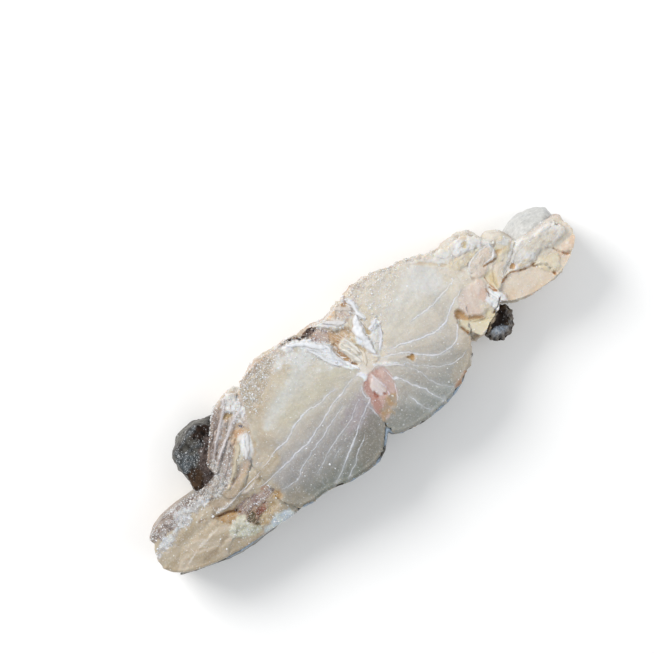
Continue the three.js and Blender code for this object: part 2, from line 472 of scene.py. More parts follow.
# Tone of each lobe's cut face by its distance from the slab's middle line: it darkens and clears
# towards the skin, partly the thinner, clearer flesh there and partly painted shade away from the light.
LEFT_TONES_AND_SHADE = {
    -37: (110, 113, 106), -33: (119, 123, 115), -26: (139, 139, 134), -20: (150, 148, 146),
    -10: (172, 168, 165), -4: (184, 178, 170), 7: (197, 192, 179), 14: (200, 196, 185),
    20: (199, 192, 178), 27: (194, 185, 169),
}
RIGHT_TONES_AND_SHADE = {
    -34: (138, 142, 138), -25: (154, 156, 152), -16: (170, 166, 159), -8: (186, 181, 173),
    2: (202, 195, 184), 10: (207, 202, 191), 18: (211, 208, 201), 28: (209, 203, 191),
}
WALL = (201, 189, 170)
WALL_PALE = (217, 211, 199)
WALL_HOLLOW_SHADE = (172, 146, 120)
WALL_BLUSH = (196, 160, 146)
WALL_SHADE_DARK, WALL_SHADE_LIGHT = (88, 72, 66), (140, 124, 117)
WHITE = (226, 228, 233)
SEAM_WHITE = (226, 230, 241)
# Warm tan painted on the strips' edges: painted warm shade where they dip into the flesh.
STRIP_EDGE_SHADE = (206, 178, 142)

# Seams between the flakes, fanning out from the middle. The number is how bright each shows.
SEAMS = [
    (1.1, [(-10, 3), (-14, 2.6), (-20, 1.7), (-25, 2.1), (-30.5, 1.3), (-36.5, -0.9), (-42.7, -3.5),
        (-51, -5), (-60, -7.2)]),
    (0.9, [(3, 1.6), (-2, 1.4), (-7, -0.3), (-16, -2.9), (-20, -4.6), (-27, -7.4), (-34, -10), (-42.7, -11),
        (-51, -12.5), (-60, -13.4), (-66, -13.3)]),
    (0.6, [(-11.5, -6), (-16.7, -7.4), (-23.6, -10), (-29.7, -12.6), (-35.7, -14.8), (-42.7, -17.8),
        (-48, -20.8), (-52, -21.4), (-56.5, -20.4)]),
    (0.6, [(-3.8, -7.5), (-6, -8.8), (-9.4, -11.2), (-12.7, -12.8), (-20, -15.4), (-26, -17.5), (-33, -21),
        (-39.5, -24)]),
    (0.4, [(-24, -20.5), (-29, -23.5)]),
    (0.9, [(1.6, -2.4), (-0.2, -6), (-0.5, -9.5), (0.6, -10.4), (-2.8, -12.5), (-6, -14.5), (-9.4, -16.4),
        (-16, -21), (-22, -24.7), (-31, -30.5), (-35, -32.4)]),
    (0.7, [(-11, -22.4), (-16, -25.7), (-22, -30), (-29.5, -34.8)]),
    (0.6, [(0.2, -10.8), (-1.5, -12.8), (-1.5, -16), (-1.1, -20.6)]),
    (0.9, [(14, -2.9), (14.2, -9), (15.7, -9.8), (18.3, -12.5), (20.3, -16.8), (23, -21), (25, -25.5),
        (28, -30.5)]),
    (0.6, [(14.2, -11), (12.4, -14.8), (9.7, -19.1)]),
    (0.9, [(15.7, -20.4), (16.7, -22.7), (17.8, -27), (20.5, -31)]),
    (0.5, [(20, -5.2), (23.6, -9.5), (26.6, -14), (27.4, -18.7), (30, -23.7), (35, -28.8)]),
    (0.6, [(22.6, -5.2), (26.2, -9.5), (30, -13.5), (34.5, -17), (44, -19.6), (50, -18.6)]),
    (1.1, [(15.4, 1.7), (19, 0.9), (22.4, -0.5), (26.5, -3.2), (30, -6.3), (35.3, -10.9), (41.4, -13),
        (48.3, -11.7), (53.5, -6.5), (55.3, -4.5)]),
    (1.3, [(21, 2.8), (27, 1.1), (34, -1), (41.4, -3), (49.2, -2.2), (56, 2.4), (65, 5.8)]),
    (1.1, [(36, 7.2), (44, 7.4), (50, 7.8), (59, 10), (65.5, 11.4)]),
]

# Inside this line the surface has no outer wall, so all of it is worked as the face.
INSIDE = [
    (-112, -10), (-108, -24), (-80, -28), (-58, -29), (-30, -31), (-14, -30), (-5, -20), (4, -20),
    (14, -28), (30, -28), (44, -22), (53, -10), (60, -14), (68, -14), (76, -8), (90, -11), (112, -8),
    (114, 2), (92, 12), (84, 19), (72, 23), (50, 28), (20, 32), (0, 30), (-14, 31), (-40, 30), (-52, 26),
    (-62, 20), (-76, 4), (-92, -5),
]

# Torn strands: half width, thickness, colour, frost and route.
SHREDS = [
    (1.0, 0.9, (222, 219, 212), 0.1, [(2.8, 15.4), (4.8, 12.4), (6.1, 9), (6.8, 5.6)]),
    (0.9, 0.9, (219, 214, 204), 0.1, [(4.6, 17.9), (6.2, 15), (7.3, 12), (7.9, 9.2)]),
    (0.8, 0.8, (222, 219, 213), 0.1, [(7.4, 18.8), (8.1, 15.4), (8.8, 12.4), (9.3, 9.2)]),
    (1.0, 0.8, (214, 205, 190), 0.05, [(9.6, 12), (10.2, 9), (9.4, 5.6), (8, 3)]),
    (1.9, 1.3, (227, 229, 233), 0.15, [(17.8, 24.6), (15.6, 21), (14.6, 17), (14.5, 13), (14.2, 9),
        (14.8, 5)]),
    (0.9, 0.9, (226, 228, 232), 0.3, [(17.4, 32), (19.6, 30), (19.3, 27), (18.8, 24.4), (20, 20.6)]),
    (0.6, 0.6, (222, 223, 230), 0.2, [(24, 14.4), (21.8, 10.4), (19.6, 7.4), (17, 4.8)]),
    (0.9, 0.6, (224, 226, 231), 0.4, [(18.6, 15.4), (21, 16.4), (23.8, 18)]),
    (1.2, 0.9, (212, 210, 210), 0.4, [(-1.4, 34), (1.8, 32.4), (5, 29.4), (8.6, 26.6), (11.8, 24.8)]),
    (1.1, 0.8, (205, 196, 188), 0.4, [(9, 33.4), (12.4, 32), (15.4, 30), (17.4, 27.6)]),
    (1.3, 0.7, (224, 227, 232), 0.45, [(-16.5, 31.6), (-12, 29.4), (-8, 26.6), (-5.2, 23.4), (-2.4, 20.4)]),
    (0.9, 0.7, (226, 229, 234), 0.35, [(-3.6, 23.4), (-1.4, 19.6), (-1, 15.6), (0.2, 11.6), (2.4, 7.6),
        (4.4, 3.4)]),
    (0.7, 0.5, (224, 226, 230), 0.4, [(-9.6, 24), (-6.6, 19.4), (-5, 14.4), (-2.4, 10)]),
    (0.45, 0.4, (226, 227, 231), 0.1, [(8.6, -0.6), (11.6, 0.6), (15, -1.8), (19, -4.4), (22.4, -7.4)]),
    (0.5, 0.4, (220, 212, 218), 0.1, [(7.6, -2.4), (8.4, -6), (8.8, -10)]),
    (0.7, 0.5, (196, 190, 191), 0.3, [(-54, 29.6), (-57.4, 25), (-62, 21), (-67, 16.4), (-72, 12)]),
    (0.5, 0.3, (166, 152, 148), 0.2, [(-56, 27), (-60, 24), (-65, 19.6), (-70, 15.6), (-75, 11.4)]),
    (0.8, 0.5, (203, 197, 198), 0.3, [(-50.4, 21), (-56, 18.6), (-61, 15.4), (-66.6, 12), (-73, 7.6)]),
    (0.6, 0.4, (184, 172, 166), 0.25, [(-62, 12.6), (-66.4, 8.8), (-70, 4.4), (-75, 0)]),
    (1.2, 0.9, (216, 216, 217), 0.1, [(-55, 9.6), (-57, 6.4), (-59.4, 3.2), (-62.4, 0.6)]),
    (0.9, 0.9, (194, 184, 163), 0.05, [(-60.6, 8.6), (-63.6, 5), (-67.6, 1), (-74, -3.6)]),
    (0.5, 0.4, (214, 214, 218), 0.2, [(-86, -11.8), (-80, -11.9), (-75, -10.6), (-68, -9.4), (-60, -8)]),
    (0.6, 0.6, (228, 229, 231), 0.1, [(74.2, -1.4), (74.6, -4.6), (75.4, -8), (73, -11.6)]),
    (0.5, 0.4, (226, 226, 227), 0.1, [(71, 7.4), (73, 11.6), (77, 14), (81.6, 15), (87, 14.8)]),
    (0.6, 0.5, (224, 224, 224), 0.2, [(87, 13.6), (86.2, 10.4), (84, 8.6), (80.4, 8.6)]),
    (0.5, 0.4, (224, 224, 224), 0.1, [(83, -1.2), (87, 0.6), (91.4, 2.6), (95, 6)]),
]

# Where small slivers lie: an outline, the way they point in degrees, how many and their colour.
SLIVERS = [
    ([(-17, 33), (-8, 31), (-2, 24), (1, 17), (5, 4), (2, 5), (-4, 11), (-8, 19), (-14, 27)], -58, 30,
        (228, 230, 234)),
    ([(0, 30), (8, 31), (13, 26), (13, 12), (9, 4), (4, 6), (1, 16), (-2, 24)], -68, 40, (214, 203, 188)),
    ([(12, 34), (19, 35), (22, 27), (24, 16), (20, 7), (15, 4), (13, 14), (15, 24)], -82, 36,
        (225, 223, 222)),
    ([(-48, 30), (-56, 32), (-68, 22), (-80, 10), (-76, 3), (-62, 12), (-52, 20)], 40, 50, (178, 164, 157)),
    ([(-74, 6), (-84, 8), (-92, 0), (-106, 0), (-104, -7), (-88, -7), (-76, -4)], 30, 60, (212, 209, 207)),
    ([(-80, -15), (-64, -14), (-60, -20), (-68, -27), (-80, -28)], 20, 20, (186, 170, 154)),
    ([(66, 23), (86, 23), (92, 14), (86, 5), (74, 8), (68, 16)], 20, 40, (222, 216, 208)),
    ([(70, -4), (79, -5), (77, -12), (70, -12)], 75, 16, (230, 231, 233)),
    ([(84, 5), (96, 8), (116, 5), (112, -2), (92, -3)], 15, 36, (222, 220, 216)),
]


# ---------------------------------------------------------------- carving the flesh


class Carving:
    """A piece's surface while it is worked: how far its points rise and how they are painted."""

    def __init__(self, points, normals):
        self.points, self.normals = points, normals
        inner = ramp(depth_inside(points[:, :2], INSIDE), -1.5, 1)
        self.top = np.maximum(ramp(normals[:, 2], 0.2, 0.55), inner)
        self.top *= ramp(points[:, 2], FACE - 22, FACE - 16)
        self.rise, self.frost = np.zeros((2, len(points)))
        self.tint = np.tile(linear(*WALL), (len(points), 1))
        self.seed = 100  # moves on with each noise, so that none comes twice

    def near(self, line, margin):
        low, high = np.min(line, axis=0) - margin, np.max(line, axis=0) + margin
        xy = self.points[:, :2]
        return np.flatnonzero(np.all((xy > low) & (xy < high), axis=1) & (self.top > 0))

    def noise(self, near, size, fibre=None, gain=0.5):
        """Noise on the face, drawn out six times along the fibre's direction in degrees."""
        self.seed += 7
        flat = self.points[near] * (1, 1, 0)
        if fibre is not None:
            turn = math.radians(fibre)
            along = flat[:, 0] * math.cos(turn) + flat[:, 1] * math.sin(turn)
            across = flat[:, 1] * math.cos(turn) - flat[:, 0] * math.sin(turn)
            flat = np.column_stack([along / 6, across, flat[:, 2]])
        return rough_noise(flat, size, self.seed, gain=gain)

    def lay(self, near, mask, colour, also, strength, frost, lift, rough, fibre):
        """Raises, roughens and paints the points near, each by its mask."""
        mask = mask * self.top[near]
        self.rise[near] += mask * lift
        if rough:
            size = 1.6 if fibre is not None else 2.4
            self.rise[near] += mask * 0.6 * rough * self.noise(near, size, fibre)
        if colour is not None:
            shade = np.tile(linear(*colour), (len(near), 1))
            if also is not None:
                shade = blended(shade, also, ramp(self.noise(near, 2.2, fibre), -0.35, 0.35))
            self.tint[near] += (strength * mask)[:, None] * (shade - self.tint[near])
        if frost is not None:
            self.frost[near] += mask * (frost - self.frost[near])

    def patch(self, outline, colour=None, also=None, level=None, lift=0.0, dome=0.0, soft=0.8,
              edge=0.8, frost=None, strength=1.0, rough=0.0, fibre=None):
        """Works inside a smooth outline that strays by edge: colour mottled with also, a lift, a dome
        that swells inwards, frost, and roughness along the fibre's direction in degrees. level is a
        height to rise or sink to, or a function that gives it for each place."""
        near = self.near(outline, 4)
        depth = depth_inside(self.points[near, :2], outline)
        depth += edge * self.noise(near, 2.8, gain=0.75)
        mask = ramp(depth, -soft / 2, soft / 2)
        if level is not None:
            height = level(self.points[near]) if callable(level) else level
            gap = height - self.points[near, 2] - self.rise[near]
            self.rise[near] += mask * gap * self.top[near]
        swell = dome * (1 - np.exp(-np.maximum(depth, 0) / 2.5))
        self.rise[near] += mask * swell * self.top[near]
        self.lay(near, mask, colour, also, strength, frost, lift, rough, fibre)

    def sink(self, outline, floor, colour, also, frost=0.1, edge=0.7):
        """Cuts away everything above floor inside an outline, the wall included, and paints it."""
        near = np.flatnonzero(self.points[:, 2] > floor - 7)
        near = near[depth_inside(self.points[near, :2], outline) > -3]
        depth = depth_inside(self.points[near, :2], outline) + edge * self.noise(near, 2.2, gain=0.75)
        mask = ramp(depth, -0.8, 0.8)
        self.rise[near] += mask * np.minimum(floor - self.points[near, 2] - self.rise[near], 0)
        self.rise[near] += mask * 0.8 * self.noise(near, 1.8) * ramp(self.points[near, 2], floor - 2, floor)
        shade = blended(linear(*colour), also, ramp(self.noise(near, 1.6), -0.2, 0.5))
        mask = mask * ramp(self.points[near, 2], floor - 7, floor - 2)
        self.tint[near] += mask[:, None] * (shade - self.tint[near])
        self.frost[near] += mask * (frost - self.frost[near])

    def streak(self, route, width, colour=None, also=None, lift=0.0, strength=1.0, frost=None,
               edge=0.3, rough=0.0):
        """Works along a line that thins to both ends: a rib, or a groove with a negative lift."""
        near = self.near(route, 2 * width + 2)
        line = spline(route, 4)
        gap, along = gap_to_segments(self.points[near, :2], line[:-1], line[1:])
        gap = np.maximum(gap + edge * self.noise(near, 2.0), 0)
        taper = width * (0.35 + 0.65 * np.sqrt(np.clip(4 * along * (1 - along), 0, 1)))
        self.lay(near, np.exp(-((gap / taper) ** 2)), colour, also, strength, frost, lift, rough, None)


def seam_gaps(points):
    """Distance from each point to the nearest seam, and how bright that seam is."""
    samples = [(x, y, shine) for shine, route in SEAMS for x, y in spline(route, 12)]
    tree = KDTree(len(samples))
    for i, (x, y, _) in enumerate(samples):
        tree.insert((x, y, 0), i)
    tree.balance()
    found = [tree.find((x, y, 0)) for x, y in points[:, :2]]
    return np.array([gap for _, _, gap in found]), np.array([samples[i][2] for _, i, _ in found])


def toned(height, tones):
    steps = sorted(tones)
    colours = np.array([linear(*tones[y]) for y in steps])
    return np.column_stack([np.interp(height, steps, colours[:, i]) for i in range(3)])


def fold_level(points):
    """The left folds stand nearly as high as the lobe they lie against, and sink away from it."""
    away = -0.94 * (points[:, 0] + 55) + 0.34 * (points[:, 1] - 14)
    return FACE - 0.8 - 0.28 * np.maximum(away, 0)


def below_rim(points, tail_drop):
    """How far each point lies below the face's rim, which is tail_drop lower along the tail."""
    return np.where(points[:, 0] > TAIL_X, FACE, FACE - tail_drop) - points[:, 2]


def carve_lobes(work):
    """The smooth cut face: its tones and their painted shade, the swell of each flake between the
    seams, its frosty edge.
    """
    points = work.points
    # The face is painted darker and greyer towards the skin: partly painted shade.
    waver = points[:, 1] + 1.6 * rough_noise(points, 12, 31)
    right = ramp(points[:, 0], -4, 14)[:, None]
    tint = (1 - right) * toned(waver, LEFT_TONES_AND_SHADE) + right * toned(waver, RIGHT_TONES_AND_SHADE)
    work.tint += work.top[:, None] * (tint - work.tint)

    # The rim is cut sharp, and the steps where lobes, folds and flaps meet are evened out.
    lobes = work.top * ramp(points[:, 0], -64, -56) * ramp(points[:, 0], 67, 58)
    shoulder = lobes * ramp(points[:, 2], FACE - 4, FACE - 3) * ramp(work.normals[:, 2], 0.25, 0.6)
    work.rise += 0.85 * shoulder * np.clip(FACE - 0.3 - points[:, 2], 0, 3.5)
    for level, soft, outline in (
        (FACE - 1.5, 9, [(-46, -6), (-54, 2), (-66, -4), (-84, -8), (-84, -22), (-66, -30), (-52, -32),
            (-46, -24)]),
        (fold_level, 4, [(-48, 28), (-54, 12), (-62, -2), (-84, -8), (-88, 2), (-76, 18), (-60, 34),
            (-48, 36)]),
        (FACE - 0.5, 5, [(-12, 30), (-4, 32), (14, 33), (22, 26), (20, 8), (10, -4), (-2, 6), (-10, 20)]),
        (FACE - 1, 7, [(50, -4), (52, 14), (54, 24), (66, 26), (84, 25), (92, 14), (80, 0), (62, -4)]),
        (FACE - 2.4, 9, [(68, -4), (68, 14), (76, 22), (84, 23), (94, 14), (98, 2), (90, -4), (80, -5)]),
    ):
        work.patch(outline, level=level, soft=soft, edge=0)

    gaps, shines = seam_gaps(points)
    swell = 0.5 * (1 - np.exp(-gaps / 2.5)) - 0.22
    work.rise += lobes * (swell + 0.14 * rough_noise(points, 4, 41) + 0.08 * rough_noise(points, 1.2, 42))
    reach = points[:, :2] - (6, 2)
    turned = np.arctan2(reach[:, 1], reach[:, 0])
    fan = np.column_stack([np.hypot(*reach.T) / 9, turned * 24, np.zeros(len(points))])
    fibres = rough_noise(fan, 1, 43)
    work.rise += 0.05 * lobes * fibres
    work.tint *= 1 + (0.035 * lobes * fibres)[:, None]
    glow = lobes * shines * 0.3 * np.exp(-((gaps / 1.2) ** 2))
    work.tint = blended(work.tint, (214, 214, 216), glow)

    for colour, strength, edge, soft, outline in (
        ((190, 173, 150), 0.6, 2.5, 10, [(-42, 26), (-50, 16), (-54, 4), (-58, -4), (-50, -4), (-44, 4),
            (-38, 14), (-36, 22)]),
        ((196, 185, 165), 0.6, 2, 6, [(-42, 27), (-36, 30), (-22, 29), (-14, 25), (-24, 19), (-36, 15),
            (-44, 18)]),
        ((197, 191, 173), 0.6, 1.5, 5, [(-40, 3), (-38, 8), (-26, 9), (-12, 11), (-4, 9), (-8, 4), (-24, 4),
            (-34, 1)]),
    ):
        work.patch(outline, colour, strength=strength, edge=edge, soft=soft)
    work.streak([(-47, 6), (-38, 11), (-28, 15), (-18, 20), (-11, 25)], 3.6, (205, 206, 203), strength=0.75,
        edge=1.2)
    for colour, strength, edge, soft, outline in (
        ((169, 158, 163), 0.6, 2, 5, [(-1, -5), (-12, -10), (-16, -17), (-6, -20), (0, -16), (1, -9)]),
        ((130, 126, 117), 0.8, 2, 6, [(-14, -21), (-4, -17), (-1, -20), (-2, -30), (-8, -37), (-20, -37),
            (-20, -29)]),
        ((141, 141, 135), 0.7, 1.5, 5, [(0, -24), (8, -22), (18, -28), (20, -34), (4, -34)]),
        ((210, 200, 186), 0.7, 1.5, 6, [(52, -2), (47, -12), (50, -18), (62, -14), (64, -4), (58, 0)]),
        ((176, 165, 148), 0.6, 1, 4, [(46, -17), (36, -25), (40, -33), (58, -20), (56, -12)]),
    ):
        work.patch(outline, colour, strength=strength, edge=edge, soft=soft)
    work.streak([(35, -29), (39, -28), (43, -25.6)], 0.9, (160, 112, 74), edge=0.6, strength=0.7)
    work.patch([(46, 29), (44, 18), (54, 12), (66, 18), (62, 26), (56, 29)], (217, 216, 214), strength=0.7,
        edge=2, soft=5)
    work.patch([(-52, -22), (-48, -30), (-56, -38), (-70, -36), (-66, -26)], (150, 141, 126), strength=0.6,
        edge=1.5, soft=6)

    work.patch([(-45, 35), (-51, 26), (-46, 16), (-38, 19), (-30, 25), (-18, 28), (-14, 33), (-18, 40),
        (-36, 40)], (190, 176, 159), (200, 190, 177), strength=0.8, edge=2.5, soft=6, frost=0.5, lift=-0.3,
        rough=0.35)
    work.patch([(-47, 34), (-43, 29.5), (-32, 31), (-20, 33), (-12, 34), (-14, 42), (-36, 42)],
        (166, 150, 138), (188, 176, 165), strength=0.85, edge=1.4, soft=3.5, frost=0.6, lift=-0.6,
        rough=0.5)
    work.patch([(-54, 26), (-52, 14), (-44, 14), (-38, 20), (-28, 28), (-26, 34), (-46, 36)],
        (158, 143, 120), (176, 161, 138), strength=0.45, edge=2, soft=6)
    work.patch([(18, 42), (18, 31), (26, 30), (38, 33), (50, 31), (60, 27), (66, 30), (44, 40)],
        (168, 156, 147), (198, 188, 176), strength=0.85, edge=1.8, soft=3, frost=0.5, lift=-0.6, rough=0.5)
    work.patch([(20, 33), (19, 20), (26, 16), (36, 22), (50, 29), (40, 34)], (209, 201, 188), strength=0.7,
        edge=2.5, soft=5, frost=0.3, rough=0.2)


def carve_middle(work):
    """The torn bed of the backbone, the white membrane beside it and the red muscle below."""
    work.patch([(12, 38), (20, 38), (23, 28), (25, 14), (21, 5), (13, 1), (5, 3), (0, 12), (-2, 24),
        (0, 34)], (211, 200, 182), (213, 207, 196), lift=-0.4, edge=1, soft=3, frost=0.15, rough=0.35,
        fibre=-75)
    work.patch([(-5, 28), (0, 31), (3, 28), (6, 25), (10.5, 23), (11, 20), (9, 17.5), (4, 17.5), (3, 12),
        (4, 5), (0, 11), (-0.5, 16), (-0.2, 21), (-3, 24)], (196, 164, 130), (206, 182, 152),
        level=FACE - 2.6, edge=0.7, soft=2.4, rough=0.6, fibre=-60)
    work.patch([(-6, 27), (-1, 30), (3, 28), (2, 24), (-1, 21), (-3, 23)], (168, 146, 140), (188, 168, 158),
        edge=0.8, soft=2, lift=0.4, frost=0.2, rough=0.6)
    # A sunken strip painted brown: painted warm shade in the hollow.
    work.patch([(0.6, 20), (3, 19.4), (2.6, 15), (3.6, 10), (5, 6), (3.4, 6.6), (1.2, 11), (0, 15.6)],
        (182, 142, 104), (196, 162, 126), level=FACE - 3.2, edge=0.5, soft=1.4, rough=0.5)
    work.patch([(3, 15.6), (4.6, 18.4), (7.4, 19.2), (9.4, 17), (10.4, 12), (12, 6), (9, 4), (6, 4.6)],
        (219, 210, 195), (223, 217, 206), level=FACE - 0.7, edge=0.5, soft=1.4, rough=0.3, fibre=-70)
    # A hole at the upper edge, cut deep and painted near-black brown: painted shade in the gap.
    work.sink([(-17, 34), (-15, 40), (1, 40), (0, 34.6), (-1.4, 30), (-3.6, 28.4), (-8.5, 29.6),
        (-12.5, 31.6)], FACE - 5, (58, 38, 28), (108, 86, 76), frost=0.14)
    work.sink([(0.8, 33.4), (1, 40), (8, 40), (7, 34), (4.6, 32), (2.4, 32.2)], FACE - 4.5, (126, 80, 40),
        (152, 104, 64))
    work.patch([(7, 34), (12, 34), (13, 30), (11, 27), (8, 27.5), (6, 30)], (204, 178, 150),
        (214, 196, 174), level=FACE - 1.8, edge=0.6, soft=1.6, rough=0.6, frost=0.2)
    work.patch([(-1.8, 34.6), (1.4, 34.4), (2.6, 31.6), (7, 30), (11.4, 27), (12.8, 24.6), (9.6, 23.4),
        (5.4, 25.2), (2.4, 27.6), (0.2, 30), (-1.6, 31.6)], (210, 204, 198), (226, 225, 224),
        level=FACE - 0.9, dome=0.9, edge=0.9, soft=1.2, frost=0.35, rough=0.8, fibre=-40)
    work.patch([(11.6, 34), (14, 37), (18, 37), (21, 30.4), (20.4, 28), (17.8, 25.4), (13, 25), (11, 27.5)],
        (196, 178, 164), (212, 202, 192), level=FACE - 0.7, dome=1, edge=1, soft=1.2, frost=0.35, rough=0.8)
    work.patch([(14.4, 32.4), (17, 32.6), (17.2, 30.2), (14.8, 30)], (198, 164, 128), lift=-0.6, edge=0.5)
    work.patch([(13.6, 33.6), (15.4, 36.6), (17.6, 35), (16.6, 33)], (216, 210, 212), lift=0.6, edge=0.6,
        frost=0.5, rough=0.6)
    work.streak([(17.6, 33.5), (19.8, 30.5), (20, 27), (19.2, 24.5), (20.4, 21)], 0.9, (226, 228, 232),
        lift=0.7, frost=0.4, edge=0.6)

    # Ribs that fan out of the middle, white and ragged, with grooves between painted yellow as warm shade.
    for groove in ([(11.6, 20), (11.6, 15), (11.4, 11), (12, 8)], [(9.6, 17), (9.8, 13), (10.4, 10)],
                   [(18.4, 22), (17.6, 17), (17.4, 13), (16.6, 8)]):
        work.streak(groove, 0.9, (213, 188, 148), lift=-0.8, rough=0.3)
    for rib in ([(2.6, 15.2), (4.6, 12.4), (6, 9), (6.6, 5.6)], [(4.4, 17.8), (6, 15), (7.2, 12), (8, 9.4)],
                [(7.4, 18.6), (8, 15.4), (8.7, 12.4), (9.3, 9.6)]):
        work.streak(rib, 0.9, (222, 215, 203), (227, 225, 220), lift=0.5, edge=0.4, rough=0.4)
    work.patch([(17.6, 25), (17.4, 20), (17, 16), (16.2, 12.6), (16, 8), (15.4, 3.4), (13, 4), (12.2, 10),
        (11.2, 10.8), (11.6, 16.4), (13.6, 19), (15.2, 22.4)], (220, 218, 214), (230, 233, 238), level=FACE,
        dome=1, edge=0.6, soft=1.2, frost=0.25, rough=0.6, fibre=-80)
    work.streak([(14.6, 18), (13.8, 14), (13.4, 10.6)], 1.3, (232, 235, 240), lift=0.5)
    work.patch([(16, 14), (18.4, 13.8), (23.8, 14), (23.4, 11.4), (20.4, 8.2), (17.8, 4.8), (15.8, 3.4)],
        (210, 206, 198), (220, 219, 217), level=FACE - 0.4, dome=0.6, edge=0.7, soft=1.2, frost=0.12,
        rough=0.5, fibre=50)
    work.patch([(18.4, 15.4), (20.6, 17.6), (23.8, 19), (24.2, 16), (22.8, 13.6), (19, 13.6)],
        (226, 228, 233), lift=0.7, edge=0.9, frost=0.5, rough=0.6)
    work.streak([(24, 14.4), (21.6, 10.4), (17.6, 4.8)], 0.6, (224, 225, 232), lift=0.6, edge=0.5,
        frost=0.3)
    work.patch([(4.2, 4.4), (7, 6), (12.4, 8.6), (13.2, 4.6), (15.4, 2.6), (12, 0.8), (9, -1.2),
        (5.6, -1.2), (4, 1.6)], (218, 208, 194), (222, 215, 206), edge=0.6, level=FACE - 0.2, rough=0.3,
        fibre=-70)
    work.patch([(-17, 33.4), (-11.5, 31.6), (-8.4, 29.4), (-5, 27.4), (-2.6, 23.8), (0, 21.4), (0.5, 18.8),
        (0.1, 15), (0.8, 12), (2.8, 8.4), (4.8, 3), (2.4, 5), (-0.4, 7), (-2, 9.4), (-4.3, 12.4),
        (-5.6, 16), (-7, 19), (-8.4, 21.6), (-9.8, 24.4), (-12, 27.8), (-18, 30)], (221, 220, 220),
        (231, 231, 233), lift=0.5, dome=0.4, edge=1, soft=1.4, frost=0.3, rough=0.5, fibre=-58)
    work.patch([(-24, 30), (-12, 28), (-6, 16), (-5, 11), (-9, 13), (-14, 20), (-26, 26)], (213, 214, 214),
        edge=2.4, soft=5, frost=0.15, strength=0.8, rough=0.2)
    work.patch([(2.4, -2.4), (7, -1), (12, -1), (14.2, -2.4), (14.6, -7), (13.8, -11), (11.4, -16.4),
        (8.4, -19), (5, -19.8), (2.4, -22), (0, -21.6), (-0.8, -15.4), (0.2, -10.5), (0.4, -5.6)],
        (188, 155, 146), (196, 170, 162), lift=-0.4, edge=0.35, soft=1.6, strength=0.95, rough=0.25,
        fibre=68)
    work.patch([(2, -3), (5, -2.4), (4, -8), (4.4, -12), (2, -18), (-0.4, -18), (0.4, -9)], (172, 132, 122),
        edge=0.5, soft=1.2, strength=0.7, lift=-0.2)
    work.patch([(9, -14), (12, -15), (9, -19.4), (4, -21.4), (0, -22), (1, -18), (5, -16)], (172, 146, 106),
        (160, 148, 128), edge=1, soft=3, strength=0.8)
    work.patch([(7, -2.2), (8.2, -2.6), (8.8, -7), (9, -11), (6.4, -12.6), (4.4, -11), (3.6, -7.6),
        (5, -4.4)], (203, 187, 178), (212, 202, 200), edge=0.5, lift=0.5, rough=0.3, fibre=80)
    for spot in ([(4, -8.6), (3.5, -10.5), (4, -12)], [(7, -11.6), (7.6, -13)]):
        work.streak(spot, 0.7, (166, 96, 70), lift=-0.6, strength=0.9)
    work.streak([(8.6, -6), (9.4, -10), (8.8, -14)], 0.35, (216, 206, 214), lift=0.2)
    work.patch([(2.2, 2.2), (4.6, 1.6), (6.4, -0.6), (4.2, -2.8), (2.2, -2.6), (3, -0.6)], WHITE, lift=0.6,
        edge=0.4, frost=0.2, rough=0.3)
    work.streak([(11, 1.2), (13.8, -0.4), (17, -2.6), (20.4, -4.8)], 0.9, (222, 221, 222), lift=0.3,
        frost=0.2, strength=0.9, edge=0.4)
    work.patch([(14.8, -9), (16.4, -9.4), (17, -10.6), (15.2, -10.6)], WHITE, edge=0.4, lift=0.2)
    work.patch([(24.9, -4.4), (27, -5), (28.4, -5.2), (28.2, -6.4), (26.6, -8), (25.9, -6.2)],
        (196, 160, 108), lift=-1.4, edge=0.3, soft=0.8)


